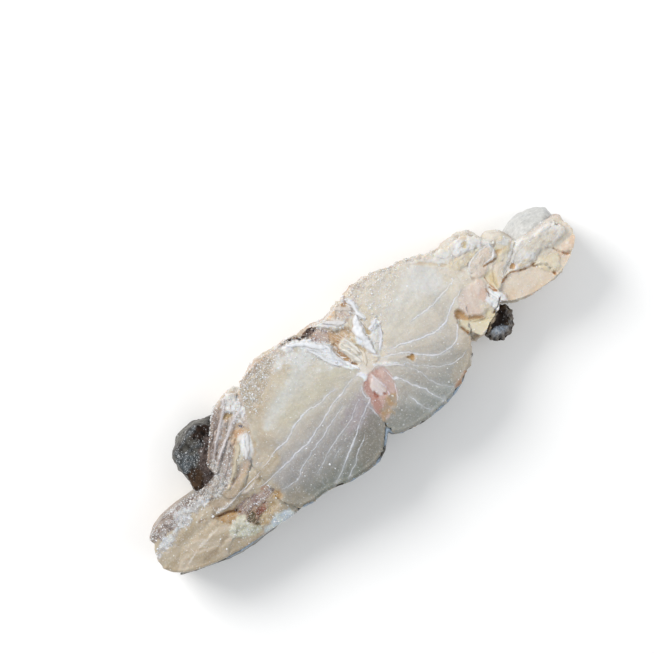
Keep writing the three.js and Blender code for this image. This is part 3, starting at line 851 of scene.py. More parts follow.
def carve_tail(work):
    """The thin left end: a smooth flap over torn, bloody flesh, frosty along its upper side."""
    grain = 12  # degrees: the way the fibres run
    work.patch([(-62, -8), (-72, -4), (-92, 4), (-112, 5), (-132, -8), (-132, -28), (-108, -42), (-70, -42),
        (-62, -34), (-58, -20)], (174, 160, 138), (184, 172, 153), edge=1.2, soft=9, frost=0.06, rough=0.2,
        fibre=grain)
    work.patch([(-50, -3), (-60, -5), (-74, -4), (-90, -6), (-104, -8), (-110, -12), (-96, -11.5),
        (-84, -12.5), (-72, -14), (-62, -13), (-50, -10)], (178, 164, 141), (188, 176, 157), edge=0.8,
        soft=4, lift=0.5, dome=0.4, rough=0.15, fibre=grain, strength=0.85)
    work.patch([(-90, -4), (-84, -2), (-76, -3), (-68, -6), (-70, -12), (-78, -13.4), (-88, -12)],
        (140, 125, 108), (158, 143, 124), edge=1.5, soft=5, strength=0.75, fibre=grain)
    work.patch([(-92, 5), (-98, 1), (-100, -4), (-110, -7), (-122, -5), (-122, 4), (-104, 5)],
        (122, 108, 102), (160, 150, 144), edge=1.2, soft=2, frost=0.35, rough=0.6)
    work.patch([(-103, 1), (-92, 3.4), (-84, 3), (-80, -3), (-85.5, -5), (-92, -6), (-97, -6), (-105, -8),
        (-107, -4)], (182, 178, 176), (208, 211, 216), edge=1.6, soft=1.5, lift=0.5, frost=0.5, rough=0.9)
    work.patch([(-99, 1), (-95, 1.5), (-93.5, -1), (-98, -2)], (128, 112, 106), (150, 138, 134), edge=0.8,
        frost=0.3, rough=0.5)
    work.patch([(-88, -3), (-84, 3), (-78, 8.6), (-75.6, 7), (-77, 2), (-80, -3), (-84, -6)],
        (184, 176, 172), (204, 200, 200), edge=1.2, soft=1.6, lift=0.4, frost=0.4, rough=0.7)
    work.patch([(-106, -6), (-114, -7), (-125, -10), (-127, -14), (-116, -12), (-108, -9.5)],
        (176, 170, 163), (202, 203, 204), edge=1.2, frost=0.35, rough=0.7)
    work.streak([(-88, -11.6), (-80, -11.8), (-75, -10.4), (-69, -11.6), (-62, -9)], 0.7, (200, 193, 186),
        lift=0.4, edge=0.5, frost=0.2, strength=0.8)
    work.streak([(-98, -10.4), (-94, -11), (-90.6, -12.6), (-88, -13.4)], 0.5, (158, 130, 100), lift=-0.3,
        edge=0.6, strength=0.7)
    work.patch([(-88, -15.4), (-98, -13.4), (-112, -17), (-118, -26), (-100, -31), (-86, -24),
        (-86.5, -19)], (182, 168, 146), (192, 180, 162), edge=0.8, lift=0.4, dome=1, rough=0.2, fibre=-18)
    work.streak([(-92, -18), (-102, -19.5), (-112, -23)], 0.5, (206, 198, 186), lift=0.2, edge=0.6)
    work.streak([(-90, -23), (-98, -25.4), (-108, -27)], 0.9, (166, 148, 124), lift=-0.25, edge=1,
        strength=0.7)
    work.patch([(-78, -14), (-70, -14.2), (-62, -16), (-61, -20), (-70, -21.6), (-78, -20), (-80, -17)],
        (148, 126, 119), (168, 150, 142), edge=0.9, soft=2, lift=-0.8, frost=0.25, rough=0.6)
    work.patch([(-85, -19.6), (-78, -20), (-72, -22), (-74, -29), (-80, -30), (-88, -25)], (188, 185, 164),
        (206, 205, 190), edge=1, soft=1.2, lift=0.4, frost=0.25, rough=0.7)
    work.patch([(-77, -20), (-66, -20), (-65, -24), (-70, -27), (-76, -26.6)], (142, 118, 100),
        (158, 136, 118), edge=0.9, soft=1.4, lift=-0.8, frost=0.1, rough=0.6)
    work.patch([(-73, -21.4), (-68.2, -21), (-67.6, -23.6), (-70.6, -25.4), (-73.4, -24.6)], (122, 74, 56),
        (146, 98, 80), edge=0.8, soft=1, lift=-0.7, frost=0.2, rough=0.8)
    work.patch([(-77, -21.4), (-74.4, -21.6), (-74.4, -27.4), (-77.4, -25)], (104, 92, 70), edge=0.7,
        lift=-0.5, rough=0.5)
    work.patch([(-73.6, -26), (-66.5, -23), (-63.4, -21.6), (-64, -25.6), (-68, -29.4), (-73.6, -28.4)],
        (166, 146, 114), (182, 165, 137), edge=0.6, soft=1.2, lift=-0.6, rough=0.5, frost=0.1)
    work.patch([(-62.4, -19.2), (-58.4, -19.8), (-58.8, -22.6), (-60.8, -23.6), (-62.6, -21.6)],
        (158, 128, 88), (176, 150, 114), edge=0.5, lift=-0.4, soft=1.2)
    work.patch([(-76, -31.6), (-71, -30.6), (-68.4, -28.4), (-66, -27.4), (-64.2, -28.8), (-61.6, -29.2),
        (-59, -31), (-60, -40), (-78, -40)], (200, 207, 206), (184, 196, 208), edge=0.8, soft=2, frost=0.3,
        rough=0.5)
    work.patch([(-88.8, -13), (-83, -14), (-78.4, -15.6), (-80.6, -17.6), (-85, -19.8), (-87, -18.6)],
        (176, 142, 100), (186, 158, 120), edge=0.4, soft=1.2, lift=-1.6, rough=0.2)
    work.streak([(-88.6, -13.2), (-84.5, -14.3), (-80.5, -15.6), (-78.6, -17.8)], 0.7, (134, 98, 62),
        lift=-0.8, edge=0.3)
    work.patch([(-64, -9.8), (-62.4, -10), (-62.2, -11.4), (-63.8, -11.6)], (164, 144, 114), edge=0.2,
        lift=-0.3)
    work.streak([(-65, -14.6), (-60, -16)], 0.7, (158, 118, 100), frost=0.35, edge=0.6, strength=0.8,
        rough=0.3)


def carve_folds(work):
    """The left folds: thin torn layers that stand side by side, with brown and orange painted shade
    in between.
    """
    folds = 44  # degrees: the way the layers and their fibres run
    work.patch([(-46, 30), (-52, 38), (-68, 32), (-84, 14), (-92, 0), (-84, -5), (-72, -6), (-60, -1),
        (-54, 8), (-50, 18)], (186, 168, 151), (198, 185, 174), edge=0.6, frost=0.12, rough=0.3,
        fibre=folds)
    # The folds' inner faces, sunk and painted mauve-brown: painted shade.
    work.patch([(-60, 30), (-68, 27), (-80, 16), (-92, 4), (-88, -2), (-82, 3), (-76, 9.5), (-69, 16.4),
        (-61, 24)], (118, 103, 98), (142, 126, 119), lift=-1.2, edge=0.7, soft=1.8, frost=0.12, rough=0.4,
        fibre=folds)
    # A brown crease: painted shade.
    work.streak([(-56.5, 23.5), (-61, 19.6), (-67, 14.2), (-72.6, 9.6), (-76.5, 6)], 1.2, (174, 148, 124),
        (188, 168, 148), lift=-0.7, rough=0.3)
    work.streak([(-54, 29), (-57, 25), (-61, 21.8), (-66, 17), (-71, 12.6), (-76, 8)], 1.5, (190, 182, 183),
        (208, 205, 207), lift=0.9, frost=0.2, rough=0.5)
    # A brown crease: painted shade.
    work.streak([(-58, 26), (-62.5, 21.8), (-68, 16.6), (-73, 12)], 0.5, (152, 132, 124), lift=-0.5,
        strength=0.8)
    work.streak([(-49.5, 20.4), (-55.8, 18.6), (-59.7, 16), (-64, 13.4), (-69.7, 10), (-75, 6)], 1.1,
        (203, 195, 192), (218, 216, 218), lift=0.8, frost=0.2, rough=0.5)
    work.patch([(-56, 31), (-52, 34), (-47.6, 29), (-49, 24), (-53.4, 22), (-57.5, 23.8)], (208, 202, 197),
        (224, 223, 223), lift=0.6, dome=0.8, edge=1, frost=0.4, rough=0.7)
    work.patch([(-54.4, 22), (-49, 21.8), (-49.4, 18.6), (-53.4, 14.4), (-55.4, 17.6)], (200, 190, 182),
        (222, 220, 219), edge=0.8, lift=0.4, frost=0.3, rough=0.5)
    work.patch([(-59.6, 23.4), (-56, 22.6), (-55.6, 20.2), (-59, 20.4)], (186, 160, 122), edge=0.6,
        lift=-0.5)
    work.patch([(-65, 12.6), (-62.4, 10.4), (-66, 5.4), (-69.5, 0.6), (-75, -4.4), (-80, -1), (-76, 6),
        (-70, 10.6)], (190, 178, 171), (207, 201, 200), edge=1, lift=0.4, dome=0.5, frost=0.35, rough=0.6,
        fibre=folds)
    # A brown crease under the white-tipped fold: painted shade.
    work.streak([(-60.6, 11), (-63.4, 8.2), (-66, 5), (-69.6, 0.2), (-73, -3.4)], 0.8, (178, 144, 120),
        (190, 162, 140), lift=-0.7, rough=0.3)
    work.patch([(-63.6, 13.4), (-58, 16.2), (-54.6, 15.4), (-53.8, 11.4), (-56.8, 9.6), (-61.4, 9.6)],
        (192, 158, 126), (200, 177, 152), edge=0.8, soft=1.6, lift=-0.3, rough=0.4, frost=0.08)
    work.patch([(-55.8, 15), (-54.6, 14.8), (-54.6, 13.7), (-55.8, 13.8)], (104, 100, 110), edge=0.3)
    work.patch([(-85, 8), (-77, 9.4), (-73, 6), (-75, 0.6), (-77.6, -4.4), (-84, -6), (-90, -3), (-86, 2)],
        (190, 181, 170), (206, 203, 199), edge=1.4, lift=0.5, dome=1, frost=0.4, rough=0.8)
    # A dark brown patch at the folds' outer end: painted shade.
    work.patch([(-92, 2), (-86, 5), (-82, 4), (-84, 0), (-90, -1)], (112, 92, 80), (150, 134, 122),
        edge=0.9, frost=0.2, rough=0.6)
    work.patch([(-61.6, 9.4), (-59.4, 10), (-60, 5), (-63.6, 1.4), (-67.6, -0.6), (-77, -5.6),
        (-70.6, -0.4), (-66, 5)], (196, 186, 164), (204, 196, 179), level=FACE - 1, dome=0.7, edge=0.5,
        soft=2.4, rough=0.15, fibre=folds)
    work.patch([(-59.6, 10.6), (-54.6, 10.4), (-55, 6.4), (-57.6, 1.4), (-60.6, 0), (-62.2, 2.8),
        (-60.6, 7)], (215, 213, 210), (225, 225, 226), level=FACE - 0.6, dome=0.8, edge=0.5, soft=2,
        frost=0.05, rough=0.2, fibre=folds)
    # A faint brown line along the gap between the flaps: painted shade.
    work.streak([(-53.4, 13), (-54, 7), (-57, 0.4), (-62, -2.2), (-74, -6.2)], 0.6, (190, 168, 138),
        lift=-0.15, strength=0.6, edge=0.6)
    # A broad darker wash over the outer folds: painted shade.
    work.patch([(-61, 29), (-62, 18), (-64, 8), (-70, 2), (-76, -3), (-94, -2), (-94, 10), (-66, 32)],
        (112, 96, 90), (138, 120, 112), edge=1.5, soft=5, strength=0.4, fibre=folds)


def carve_right(work):
    """The right end: lumps of pale muscle, a yellow leaf of fat and a long flap that tapers off, with
    painted warm shade in the crevices between them.
    """
    work.patch([(56, -3), (58, 6), (60, 16), (60, 34), (98, 34), (132, 16), (132, -24), (84, -24),
        (66, -16), (58, -10)], (215, 206, 191), (219, 212, 200), edge=1, soft=5, frost=0.06, rough=0.2,
        strength=0.95)
    # The long flap: a broad pink band below, lumps along it and a white fold above.
    work.patch([(76, -12), (80, -4), (88, -1.5), (95, -4), (110, -5), (132, -6), (132, -24), (80, -24)],
        (213, 196, 175), (217, 204, 188), level=FACE - 5.5, dome=1, edge=0.5, soft=1.6, rough=0.14,
        fibre=24)
    work.patch([(80, -3.6), (88, -3), (96, -5), (92, -8), (84, -9)], (215, 204, 190), edge=0.8, soft=2.5)
    work.streak([(77, -12.4), (84, -15.6), (94, -18)], 0.8, (196, 192, 184), lift=0.3, edge=0.3)
    # Crevices between the lumps, sunk and painted orange-brown: painted warm shade.
    for route in ([(98, -5.5), (103, -9), (104, -15)], [(110, -4), (113, -9), (119, -12)]):
        work.streak(route, 0.55, (202, 162, 122), lift=-1.6, edge=0.5)
    work.patch([(99, -5), (105, -4.5), (110, -7), (108, -13), (103, -12)], (212, 200, 176), (216, 208, 190),
        lift=0.5, dome=1.2, edge=0.6, rough=0.3)
    work.patch([(112, -6), (118, -4), (124, -6), (122, -11), (115, -11)], (210, 190, 170), (216, 202, 186),
        lift=0.4, dome=1.2, edge=0.6, rough=0.3)
    work.patch([(86, 5), (92, 7.4), (98, 12), (108, 11), (116, 7), (120, 0), (112, -3), (103, -1.6),
        (98.4, -3.4), (93.8, -3.8), (91.3, -3), (88.4, -1.9), (86, -0.7), (83, -1.5), (81.2, -3.2),
        (83.1, 0), (84.8, 2.4)], (219, 215, 208), (225, 224, 222), level=FACE - 4, dome=1, edge=0.8,
        soft=1.6, frost=0.06, rough=0.4, fibre=20)
    work.patch([(98, 4), (106, 6), (114, 3), (112, -1), (102, 0)], (214, 204, 188), (219, 212, 200), edge=1,
        soft=2, rough=0.4, lift=0.3)
    work.streak([(97, 8.5), (92.6, 4.6), (88, 1.6), (84, -0.8)], 0.5, (208, 196, 180), lift=-0.7,
        strength=0.7, edge=0.4)
    # A small pit painted orange-tan: painted warm shade.
    work.patch([(88.6, 1.4), (90.6, 1.6), (90.6, -1), (88.6, -1)], (214, 176, 130), edge=0.4, lift=-1.2)
    work.patch([(92, -1.2), (96, -0.4), (99, -2.4), (94, -3)], (216, 204, 182), edge=0.4, lift=0.3)
    # The gap along the white fold's foot, painted orange-brown: painted warm shade.
    work.streak([(81, -3.4), (83.5, -2.3), (87.2, -1.6), (89.6, -2.6), (94, -4.2), (100, -4.8)], 0.5,
        (203, 160, 118), lift=-1.5)
    work.patch([(86.8, 5.8), (92.4, 7.6), (89, 3.4), (85.4, 2), (81.6, -2), (79.6, -4), (78, -3),
        (80.4, 3.8), (84, 6.4)], (217, 205, 188), (221, 212, 200), level=FACE - 3.2, dome=1, edge=0.4,
        rough=0.25, fibre=40)
    work.patch([(76.4, 4.2), (80.4, 4.2), (80.4, 1), (79.4, -2.6), (78.2, -3.6), (76.4, -1)],
        (216, 197, 160), (220, 208, 182), edge=0.4, soft=1.6, lift=-0.5, rough=0.1)
    # A narrow crevice painted orange-brown: painted warm shade.
    work.streak([(76.3, 4), (76, 0.4), (77, -3)], 0.35, (204, 160, 110), lift=-0.8, strength=0.8)
    work.patch([(87, 14), (89.7, 14.4), (93, 14), (96.4, 11), (94.4, 8), (92.2, 7), (88.9, 5.6),
        (86.4, 5.4), (85.4, 6.8), (87, 9.4)], (215, 203, 176), (218, 210, 192), level=FACE - 3, dome=1.2,
        edge=0.6, soft=1.6, rough=0.25)
    work.patch([(87, 10.4), (89.4, 10.6), (92, 9.2), (90, 8.4), (87.4, 8.8)], (211, 182, 140), edge=0.6,
        soft=1.2, lift=-0.4)
    work.patch([(90, 13), (94, 13.4), (96, 10.6), (93, 9.6)], (205, 205, 202), edge=0.6, lift=0.2,
        frost=0.2)
    work.patch([(71.6, 8), (73.6, 13), (80.6, 15), (87, 15.2), (86.4, 11.3), (84.9, 8.7), (80.8, 8.6),
        (79.9, 6.4), (76.5, 4.6), (73, 4.8), (71.4, 6.4)], (211, 196, 182), (216, 204, 192),
        level=FACE - 1.6, dome=1.2, edge=0.5, rough=0.25, fibre=60, strength=0.9)
    work.streak([(70.4, 7), (72.4, 11.4), (76.5, 14), (81, 15.1), (87, 15)], 0.5, (224, 221, 218), lift=0.3,
        edge=0.3, strength=0.7)
    work.patch([(66, 16), (67.4, 19), (73, 18.4), (79, 17), (84, 16), (80, 14.8), (75.4, 13.6), (67.6, 13)],
        (217, 204, 176), (220, 210, 190), level=FACE - 1.4, dome=0.8, edge=0.6, soft=1.6, rough=0.25,
        strength=0.85)
    work.patch([(79, 22.8), (84, 23), (88.4, 20), (89, 15), (86.4, 14.8), (83, 16), (78.6, 17.6),
        (77.6, 20)], (221, 219, 215), (226, 226, 226), level=FACE - 1.2, dome=0.9, edge=0.9, soft=2,
        frost=0.06, rough=0.3)
    work.patch([(72, 24.6), (69.6, 21.6), (71, 18.8), (76.4, 18.4), (77.6, 20.4), (76, 25)],
        (221, 220, 219), (226, 226, 226), level=FACE - 1.2, dome=0.9, edge=0.9, soft=2, frost=0.06,
        rough=0.3)
    work.patch([(76.2, 22.6), (78.2, 22), (77.4, 19.6), (76.2, 20.4)], (218, 200, 162), edge=0.4, lift=-0.5)
    work.patch([(59, 25), (66.5, 26.4), (70, 23), (68.4, 20), (65.7, 19.4), (62, 20.6)], (217, 216, 213),
        (222, 222, 222), level=FACE - 0.9, dome=0.6, edge=1, soft=2, frost=0.08, rough=0.25, strength=0.85)
    work.streak([(51, 29), (56.2, 25.8), (60.3, 22.6), (63.6, 19.4), (66.8, 17.8)], 0.7, (213, 195, 166),
        lift=-0.4, edge=0.4, strength=0.7)
    work.streak([(86.8, 14.6), (86.4, 11.4), (84.6, 8.8), (80, 8.6)], 0.7, (226, 224, 223), lift=0.5,
        frost=0.2, edge=0.7, rough=0.5)
    # The gap under the lump, painted tan-brown: painted warm shade.
    work.streak([(86.6, 7.6), (83, 7.6), (80, 8), (78.6, 8)], 0.45, (208, 172, 134), lift=-1.0, edge=0.5)
    work.streak([(72, 4.6), (70.6, 8), (69.4, 12), (67.4, 14)], 0.6, (212, 194, 176), lift=-0.5,
        strength=0.6, edge=0.4)
    work.patch([(58, -1.1), (60.3, 2.1), (64.1, 4.3), (67.8, 5.6), (72.3, 5), (75, 3.1), (73.8, -1.5),
        (72.5, -4.8), (68.8, -6), (68, -8.8), (64.5, -9.4), (60.5, -7.1), (58.7, -4.4)], (212, 196, 184),
        (216, 204, 194), level=FACE - 1.6, dome=0.8, edge=0.6, soft=1.6, rough=0.2, fibre=72)
    work.patch([(69.4, 0), (73, -0.4), (72.4, -4.2), (69.4, -5), (68, -3)], (209, 177, 158), edge=0.8,
        strength=0.6, lift=-0.2, soft=2)
    work.patch([(70.6, -5.4), (73.1, -3.6), (74.4, -1.6), (75.8, -3.8), (78.2, -6), (79, -8.6),
        (76.8, -11.6), (74, -13.2), (71.5, -12.8), (71.2, -10.2), (69.6, -8.1)], (226, 225, 223),
        (234, 235, 236), level=FACE - 2, dome=1, edge=0.6, soft=1.4, frost=0.05, rough=0.4)
    # The crevices between the white membrane's teeth, painted orange-brown: painted warm shade.
    for tooth in ([(73.5, -0.8), (73.2, -3), (72.8, -4.8)], [(75.2, -1), (76, -3.2), (77.4, -5)]):
        work.streak(tooth, 0.45, (200, 150, 108), lift=-1.4)
    work.patch([(66.5, -6.6), (70, -6.2), (71.2, -10.6), (70, -12.6), (67, -9.4)], (216, 205, 188),
        edge=0.5, lift=0.2)
    # The shadow gap above the yellow leaf, sunk and painted tan-orange: painted shade.
    work.patch([(54.6, -2.6), (57.2, -0.8), (58.4, -3.6), (59.6, -6.6), (65, -10.2), (64.4, -11.4),
        (58.6, -8.6), (55.4, -5.4)], (200, 163, 120), level=FACE - 4, edge=0.3, soft=1.6)
    work.patch([(54.6, -5.4), (59.6, -8.2), (65.3, -11.4), (67.4, -9.4), (69.6, -10), (70.4, -12.4),
        (74.4, -14.8), (71, -17.4), (68.2, -19.6), (64, -21), (59.4, -20), (55.6, -15.6), (53.6, -10.2)],
        (210, 200, 172), (215, 207, 187), level=FACE - 3.4, dome=1.2, edge=0.4, soft=1.4, rough=0.16,
        fibre=-20)
    work.streak([(59, -9.4), (63.5, -11.4), (66.6, -12.8), (69.4, -14)], 0.4, (186, 170, 138), lift=-0.5,
        strength=0.7)
    # An orange crevice at the leaf's left edge: painted warm shade.
    work.streak([(53.9, -8.6), (54.9, -12.4), (56.6, -14.4)], 0.5, (200, 158, 112), lift=-1.0)


def work_walls(work, side, skinned):
    """Frosts, paints and tears the bare walls. Returns how far each point moves along its normal."""
    points = work.points
    x, y, z = points.T
    bare = side * (1 - skinned)
    rough_frost = 0.03 + 0.22 * ramp(rough_noise(points * (1, 1, 0.5), 8, 90), -0.1, 0.6)
    rough_frost += 0.15 * ramp(z, FACE - 9, FACE - 1)
    work.frost = np.maximum(work.frost, 0.025) + bare * rough_frost
    flaky = rough_noise(points * (1, 1, 0.2), 2.8, 93)
    torn = 0.9 * rough_noise(points * (1, 1, 0.25), 6, 91) + 0.35 * rough_noise(points, 1.8, 92)
    torn = torn + 0.8 * flaky - 0.8
    pale = 0.8 * side * ramp(rough_noise(points * (1, 1, 0.6), 9, 94), -0.2, 0.5)
    blush = 0.4 * side * ramp(rough_noise(points * (1, 1, 0.7), 12, 89), 0.0, 0.7)
    # Where the torn wall sinks in, it is painted a darker brown: painted shade in its hollows.
    hollow_shade = 0.65 * side * ramp(flaky, 0.0, -0.5)
    for share, colour in ((pale, WALL_PALE), (blush, WALL_BLUSH), (hollow_shade, WALL_HOLLOW_SHADE)):
        work.tint = blended(work.tint, colour, share)
    # The walls that lean out at both ends are torn more, and those of the tail are painted
    # dark brown-grey: painted shade.
    leaning = ramp(x, -58, -62) * ramp(y, -8, -5)
    tail_wall_shade = 0.9 * side * leaning * ramp(z, FACE - 38, FACE - 7)
    brown = blended(linear(*WALL_SHADE_DARK), WALL_SHADE_LIGHT, ramp(torn + 0.6, -0.4, 0.7))
    work.tint += tail_wall_shade[:, None] * (brown - work.tint)
    leaning += ramp(x, 86, 90) * ramp(y, 2, 5)
    torn += (0.6 + 0.9 * leaning - torn) * np.minimum(leaning, 1)
    torn *= bare * ramp(z, 1, 5)
    # The flesh stands out over the skin's cut edge, and tucks in behind the skin beside the tail.
    overhang = 1.1 * skinned * ramp(below_rim(points, 4.5), 7, 3)
    overhang -= 1.5 * skinned * ramp(np.abs(x + 62), 12, 7) * ramp(z, FACE - 7, FACE - 11)
    grains = 0.5 * work.frost * lattice_noise(points, 0.95, 95) * ramp(z, 1, 5)
    return torn + overhang + grains


def flesh_body():
    """The whole piece of flesh: carved and painted on a fine mesh, then thinned where it is plain."""
    piece = evened("flesh_body", "flesh", FLESH_VOXEL, 4)
    work = Carving(points_of(piece), read(piece.data.vertex_normals, "vector", 3).astype(float))
    for carve in (carve_lobes, carve_tail, carve_folds, carve_right, carve_middle):
        carve(work)
    points, normals = work.points, work.normals
    skin_end, height = SKINNED_X[1], points[:, 2]
    side = 1 - work.top
    skinned = ramp(normals[:, 1], 0.1, -0.4) * ramp(points[:, 0], skin_end + 2, skin_end - 4)
    moved = points + normals * work_walls(work, side, skinned)[:, None]
    rim = ramp(height, FACE - 6, FACE - 2) * ramp(normals[:, 2], 0.9, 0.5)
    moved += (rim * 0.8 * rough_noise(points, 3.4, 96, gain=0.75))[:, None] * (normals * (1, 1, 0))
    moved[:, 2] += work.rise
    streaks = rough_noise(points * (1, 1, 0.12), 1.6, 97)
    shade = 1 + 0.03 * rough_noise(points, 0.8, 98) + 0.07 * side * streaks
    sparks = 0.2 * ramp(lattice_noise(points, 0.6, 99), 0.5, 0.75)
    tint = blended(work.tint * shade[:, None], WHITE, sparks)
    # Triangles go first at the foot and behind the skin, where nothing shows.
    back = ramp(normals[:, 1], -0.3, -0.7) * ramp(points[:, 0], skin_end + 1, skin_end - 2)
    plain = side * (0.4 + 0.6 * np.maximum(back, ramp(height, 3, 0.5)))
    finish_worked(piece, moved, tint, work.frost, np.clip(plain, 0.02, 1), 0.3, RAW_FLESH)
    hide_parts("flesh")
    return piece


# ---------------------------------------------------------------- strips laid on the flesh


class Strips:
    """Ragged strips of membrane and muscle, laid on the flesh and made one piece."""

    def __init__(self, ground):
        self.ground = ground
        self.bm = bmesh.new()
        self.tint = self.bm.verts.layers.float_color.new("tint")
        self.frost = self.bm.verts.layers.float.new("frost")

    def height(self, x, y):
        hit, *_ = self.ground.ray_cast(Vector((x, y, FACE + 12)) * MM, (0, 0, -1))
        return hit.z / MM if hit else 0.0

    def heights(self, places):
        return np.array([self.height(x, y) for x, y in places])

    def lay(self, route, half, crown, seed, columns=4, stray=0.35, bridge=False):
        """Lays a strip along a route. It is thickest along its middle, thins to both ends and dips
        into the ground at its edges. Returns its vertices, how far each is to the side, and its place
        along the strip for noise."""
        line = spline(route, 12)
        held = self.heights(line) > EDGE_DROP
        line = line[held] if held.sum() > 3 else line
        length = np.hypot(*np.diff(line, axis=0).T).sum()
        steps = max(int(length / 0.45), 4)
        made = bmesh.ops.create_grid(self.bm, x_segments=steps, y_segments=columns, size=1)["verts"]
        places = np.array([vert.co[:2] for vert in made])
        along, side = (places[:, 0] + 1) / 2, places[:, 1]
        knots, stations = np.linspace(0, 1, len(line)), np.linspace(0, 1, steps + 1)

        def at(share):
            return np.column_stack([np.interp(share, knots, line[:, i]) for i in range(2)])

        way = at(along + 0.01) - at(along - 0.01)
        way /= np.maximum(np.hypot(*way.T), 1e-9)[:, None]
        lengthwise = np.column_stack([along * length, np.full(len(along), 9.0 * seed), np.sign(side)])
        width = half * (1 + 0.45 * rough_noise(lengthwise, 2.2, 61, gain=0.7))
        width *= np.sqrt(np.clip(5 * along * (1 - along) + 0.08, 0, 1))
        drift = stray * rough_noise(lengthwise * (1, 1, 0), 4, 62, gain=0.7)
        spots = at(along) + np.column_stack([-way[:, 1], way[:, 0]]) * (side * width + drift)[:, None]
        padded = np.pad(self.heights(at(stations)), 4, mode="edge")
        deck = np.interp(along, stations, np.convolve(padded, np.full(9, 1 / 9), mode="valid"))
        level = np.maximum(self.heights(spots), deck - 1.5)
        swell = crown * (1 - side**2)
        inner = np.abs(side) < 0.99
        if bridge:
            swell *= 1 + 0.35 * rough_noise(np.column_stack([spots, deck]), 1.1, 65 + seed)
            level = np.where(inner, np.maximum(level, deck), level)
        level += np.where(inner, swell, -STRIP_THICKNESS)
        for vert, (x, y), z in zip(made, spots, level):
            vert.co = (x, y, z)
        return made, side, lengthwise

    def closed(self, name):
        """Gives the strips an underside and makes them a piece."""
        top = self.bm.faces[:]
        made = bmesh.ops.extrude_face_region(self.bm, geom=top, use_keep_orig=True)["geom"]
        sunk = [item for item in made if isinstance(item, bmesh.types.BMVert)]
        bmesh.ops.translate(self.bm, verts=sunk, vec=(0, 0, -STRIP_THICKNESS))
        piece = dress(piece_from(name, self.bm), MEMBRANE)
        piece.data.shade_smooth()


def seam_strips(body, ground):
    """The white membranes between the flakes, as thin strips that stand a little out of the face."""
    strips = Strips(ground)
    tints = read(body.data.attributes["tint"].data, "color", 4)[:, :3]
    white = linear(*SEAM_WHITE) / STUDIO_LIGHT
    for seed, (shine, route) in enumerate(SEAMS):
        made, side, lengthwise = strips.lay(route, 0.3 + 0.25 * shine, 0.14, seed)
        fade = 0.55 + 0.45 * ramp(rough_noise(lengthwise * (1, 1, 0), 5, 63), -0.5, 0.3)
        fade *= 0.8 + 0.3 * rough_noise(lengthwise, 0.9, 64)
        share = np.clip((0.2 + 0.5 * shine) * fade * (1 - 0.4 * np.abs(side)), 0, 1)
        for vert, part in zip(made, share):
            _, _, face, _ = ground.find_nearest(vert.co * MM)
            local = tints[body.data.polygons[face].vertices[0]]
            vert[strips.tint] = rgba(local + part * (white - local))
            vert[strips.frost] = 0.25 * part
    strips.closed("seams")


def shred_strips(ground):
    """Torn strands of membrane and muscle: the named ones, then small slivers strewn over the tears."""
    strips = Strips(ground)
    luck = np.random.default_rng(5)
    shreds = list(SHREDS)
    for outline, turn, count, colour in SLIVERS:
        low, high = np.min(outline, axis=0), np.max(outline, axis=0)
        spots = luck.uniform(low, high, (6 * count, 2))
        spots = spots[depth_inside(spots, outline) > 0.3][:count]
        for x, y in spots:
            aim = math.radians(turn + luck.normal(0, 14))
            reach, half = luck.uniform(0.8, 3.2), luck.uniform(0.16, 0.42)
            dx, dy, bend = reach * math.cos(aim), reach * math.sin(aim), luck.normal(0, 0.25)
            route = [(x - dx, y - dy), (x - bend * dy, y + bend * dx), (x + dx, y + dy)]
            tone = np.clip(np.array(colour) + luck.normal(0, 7), 0, 255)
            if strips.heights(route).min() >= EDGE_DROP:
                shreds.append((half, luck.uniform(0.15, 0.5), tone, 0.2, route))
    for seed, (half, thickness, colour, icy, route) in enumerate(shreds):
        made, side, lengthwise = strips.lay(route, half, 0.6 * thickness, seed,
                                            columns=8 if half > 0.5 else 2, stray=0.25, bridge=True)
        # Each strip's edges turn towards a warm tan: painted warm shade.
        tone, edge_shade = linear(*colour) / STUDIO_LIGHT, linear(*STRIP_EDGE_SHADE) / STUDIO_LIGHT
        shade = 1 + 0.05 * rough_noise(lengthwise, 1.2, 66)
        for vert, part, edge in zip(made, shade, 0.5 * np.abs(side) ** 4):
            vert[strips.tint] = rgba(part * (tone + edge * (edge_shade - tone)))
            vert[strips.frost] = 0.5 * icy
    strips.closed("shreds")


# ---------------------------------------------------------------- skin and frost


def skin_piece(name, node, material, tones, wrinkle, frost, carve, voxel=SKIN_VOXEL, ratio=0.6):
    """A piece of skin: wrinkled, mottled from dark to pale with small spots, then worked by carve."""
    piece = evened(name, node, voxel, 2)
    work = Carving(points_of(piece), read(piece.data.vertex_normals, "vector", 3).astype(float))
    points = work.points
    seed = 200 + 10 * len(name)
    swell = rough_noise(points * (1, 1, 0.6), 7, seed) + 0.3 * rough_noise(points, 2, seed + 1)
    swell = wrinkle * swell * ramp(points[:, 2], 1, 4)
    tint = np.tile(linear(*tones[0]), (len(points), 1))
    tint = blended(tint, tones[1], ramp(rough_noise(points, 9, seed + 2), -0.3, 0.5))
    spots = ramp(rough_noise(points, 2.6, seed + 3, gain=0.6), 0.35, 0.7)
    tint = blended(tint, tones[2], 0.8 * spots)
    work.tint = tint * (1 + 0.1 * rough_noise(points, 0.8, seed + 4)[:, None])
    work.frost = frost * ramp(rough_noise(points * (1, 1, 0.5), 5, seed + 5), -0.2, 0.7)
    carve(work)
    moved = points + work.normals * swell[:, None]
    moved[:, 2] += work.rise
    finish_worked(piece, moved, np.maximum(work.tint, 0), work.frost, np.ones(len(points)), ratio,
                  material)
    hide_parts(node)


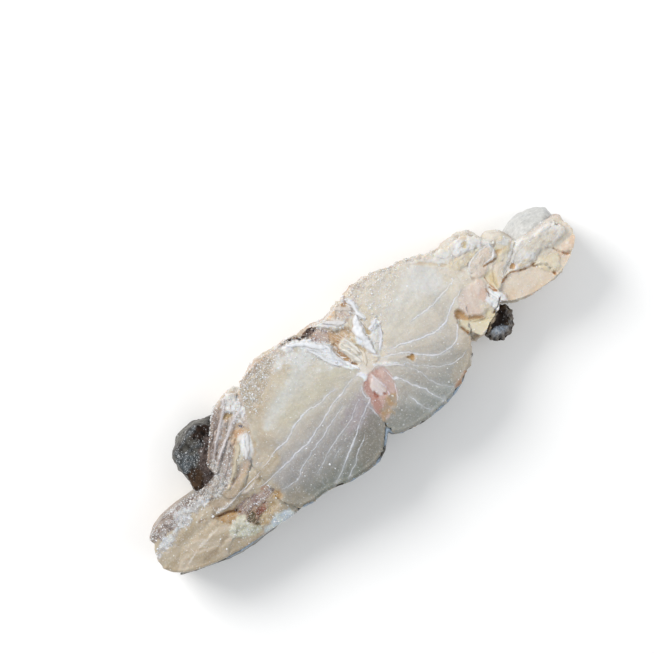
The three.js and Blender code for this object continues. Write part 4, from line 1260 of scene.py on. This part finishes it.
def carve_back_skin(work):
    """The cut edge on the back is pale blue, partly its own colour and partly a painted cool highlight, and
    stands a little below the flesh; the skin's two ends are ragged."""
    points = work.points
    for end, inward in zip(SKINNED_X, (1, -1)):
        pull = ramp(np.abs(points[:, 0] - end), 6, 1)
        points[:, 0] += inward * pull * (1 + 2.2 * rough_noise(points * (0, 0, 1), 7, 304, gain=0.7))
    points[:, 1] += 1.4 * ramp(points[:, 0], 40, 48)
    # The cut edge is painted pale blue: partly its own colour and partly a painted cool highlight.
    near_top = below_rim(points, 5)
    edge = ramp(near_top + 0.9 * rough_noise(points, 2.4, 303), 2.4, 1.4)
    share = 0.9 * edge * ramp(rough_noise(points, 5, 301), -0.5, 0.3)
    work.tint = blended(work.tint, (156, 174, 192), share)
    ragged = 0.3 + 0.5 * rough_noise(points * (1, 1, 0), 2.5, 302)
    work.rise -= ramp(near_top, 6, 1.5) * ragged
    buried = ramp(points[:, 1], -33, -30) * ramp(points[:, 0], -50, -54) * ramp(points[:, 0], -70, -66)
    work.rise -= buried * np.maximum(points[:, 2] - (FACE - 10), 0)
    work.rise -= 2 * ramp(points[:, 0], 40, 45) * ramp(near_top, 12, 3)


def carve_left_skin(work):
    """Nearly black where it dips under the folds, brown at the foot, frosty grey in between, and painted
    darker towards its top as painted shade.
    """
    work.patch([(-62, 29), (-70, 22.5), (-79, 14.5), (-88, 6), (-96, 0), (-84, -12), (-70, 4), (-58, 22)],
        (108, 93, 88), (128, 112, 107), edge=0.9, soft=1.6, frost=0.2, rough=0.6, fibre=44)
    work.patch([(-77, 29.5), (-66, 29), (-61, 27), (-66, 21.6), (-72, 19.4), (-77, 22)], (26, 17, 13),
        (56, 38, 28), edge=1.2, soft=2, frost=0.08, rough=0.5)
    work.patch([(-94, 11), (-87, 12), (-83, 8), (-86, 1), (-93, 0)], (62, 44, 30), (92, 70, 52), edge=1,
        soft=1.5, frost=0.15, rough=0.6)
    work.patch([(-91, 19), (-86, 20), (-80, 15), (-84, 12), (-92, 12)], (88, 92, 94), (116, 124, 130),
        edge=1.2, soft=2, frost=0.6, rough=0.5)
    work.patch([(-94, 5), (-92, -4), (-114, -5), (-114, 4)], (126, 113, 106), (164, 155, 150), edge=0.8,
        soft=2, frost=0.35, rough=0.5)
    for route in ([(-88, 21.4), (-80, 24.4), (-74, 26)], [(-89, 18), (-82, 19), (-76, 18.4)]):
        work.streak(route, 0.6, (112, 116, 120), frost=0.7, edge=0.6, lift=0.3)
    # Its upper part lies in the folds' shade: painted shade darkens it and thins its frost.
    upper = ramp(work.points[:, 2], FACE - 20, FACE - 9)
    work.tint *= 1 - 0.5 * upper[:, None]
    work.frost *= 1 - 0.3 * upper


def carve_right_skin(work):
    """The pale end of the right skin, where flesh clings to it, and one wrinkle."""
    work.patch([(94, 8), (100, 6), (108, 7), (106, 2), (92, 0)], (206, 200, 190), edge=0.8, soft=2)
    work.streak([(97, 11), (104, 14), (114, 15), (120, 12)], 0.6, (170, 172, 172), lift=-0.4, edge=0.5)


def carve_fin(work):
    """A dark, curled leaf with a hollow and a blue-white spot, a painted highlight with some frost,
    greyer towards the lobe.
    """
    work.patch([(60, -15), (80, -11), (80, -27), (60, -28)], (26, 15, 7), (44, 28, 16), edge=0.5, soft=1.2,
        rough=0.4, frost=0.03)
    work.patch([(67, -14), (74, -14), (75.6, -19), (73.6, -23), (67, -24), (64, -20)], level=FACE - 11.5,
        soft=3, edge=0.4)
    work.patch([(60, -19.6), (64, -20.4), (67.4, -21.4), (67.8, -28), (58, -28)], (118, 114, 115),
        (150, 148, 152), edge=0.8, soft=1.6, frost=0.3, rough=0.4)
    # The blue-white spot: a painted highlight on the wet fin, with some frost on it.
    work.patch([(65.4, -19.8), (69, -19.8), (71, -21.6), (71.6, -25.4), (69, -26.6), (65.4, -24.6)],
        (140, 152, 168), (192, 202, 215), edge=1.3, soft=1.6, frost=0.3, lift=0.4, rough=0.9)
    work.patch([(58, -8), (73, -8), (73.4, -12.6), (70, -15.6), (65.6, -17.4), (58, -18.6)],
        (186, 168, 144), (200, 186, 164), edge=0.9, soft=1.2, lift=1.6, dome=0.6, rough=0.5)
    work.streak([(72, -12), (74.2, -16), (74.8, -20), (74, -24)], 0.6, (20, 12, 6), lift=-0.8, edge=0.4)
    work.streak([(76.4, -13), (78, -17), (77.6, -22)], 0.5, (84, 68, 54), lift=0.4, edge=0.4, frost=0.2)
    points, normals = work.points, work.normals
    turned = np.arctan2(points[:, 1] + 17, points[:, 0] - 69)
    rays = np.cos(16 * turned + 1.2 * rough_noise(points, 5, 311))
    lower = ramp(points[:, 2], FACE - 13, FACE - 18)
    work.tint = blended(work.tint, (116, 104, 88), 0.6 * lower * ramp(rays, -0.5, 1))
    points += (0.35 * lower * rays)[:, None] * normals


def frost_crystals(body):
    """Loose crystals of frost, thickest where the flesh is painted frosty."""
    luck = np.random.default_rng(12)
    corners = np.array([polygon.vertices[:3] for polygon in body.data.polygons])
    frost = read(body.data.attributes["frost"].data, "value", 1)[:, 0]
    spots = points_of(body)
    a, b, c = (spots[corners[:, i]] for i in range(3))
    normal = np.cross(b - a, c - a)
    area = np.linalg.norm(normal, axis=1)
    normal /= np.maximum(area, 1e-9)[:, None]
    share = area * (frost[corners].mean(axis=1) ** 1.5 + 0.003) * ramp(normal[:, 2], -0.3, 0.3)
    chosen = luck.choice(len(corners), CRYSTALS, p=share / share.sum())
    mix = luck.dirichlet((1, 1, 1), CRYSTALS)
    places = a[chosen] * mix[:, :1] + b[chosen] * mix[:, 1:2] + c[chosen] * mix[:, 2:]
    sizes = luck.lognormal(math.log(0.2), 0.35, CRYSTALS)
    bm = bmesh.new()
    bmesh.ops.create_icosphere(bm, subdivisions=1, radius=1)
    ball = np.array([vert.co for vert in bm.verts])
    faces = np.array([[vert.index for vert in face.verts] for face in bm.faces])
    bm.free()
    shapes = ball * luck.uniform(0.7, 1.3, (CRYSTALS, len(ball), 1))
    shapes *= luck.uniform(0.6, 1.4, (CRYSTALS, 1, 3))
    centres = places + normal[chosen] * sizes[:, None] * 0.3
    spots = shapes * sizes[:, None, None] + centres[:, None]
    corners = faces + len(ball) * np.arange(CRYSTALS)[:, None, None]
    mesh = bpy.data.meshes.new("frost_crystals")
    mesh.from_pydata((spots.reshape(-1, 3) * MM).tolist(), [], corners.reshape(-1, 3).tolist())
    dress(link("frost_crystals", mesh), FROST_ICE)


add_camera()
add_surroundings()
body = flesh_body()
ground = BVHTree.FromObject(body, bpy.context.evaluated_depsgraph_get())
seam_strips(body, ground)
shred_strips(ground)
skin_piece("back_skin_hide", "back_skin", WET_SKIN,
           [(66, 61, 52), (118, 112, 96), (38, 33, 29)], 0.35, 0.3, carve_back_skin, ratio=0.35)
skin_piece("left_skin_hide", "left_skin", DARK_SKIN,
           [(62, 58, 54), (108, 106, 100), (30, 24, 20)], 1.1, 0.4, carve_left_skin)
skin_piece("right_skin_hide", "right_skin", PALE_SKIN,
           [(203, 203, 200), (210, 210, 208), (192, 194, 194)], 0.6, 0.15, carve_right_skin)
skin_piece("fin_leaf", "fin", DARK_SKIN,
           [(34, 22, 14), (62, 50, 40), (20, 11, 6)], 0.7, 0.08, carve_fin, voxel=FIN_VOXEL)
frost_crystals(body)
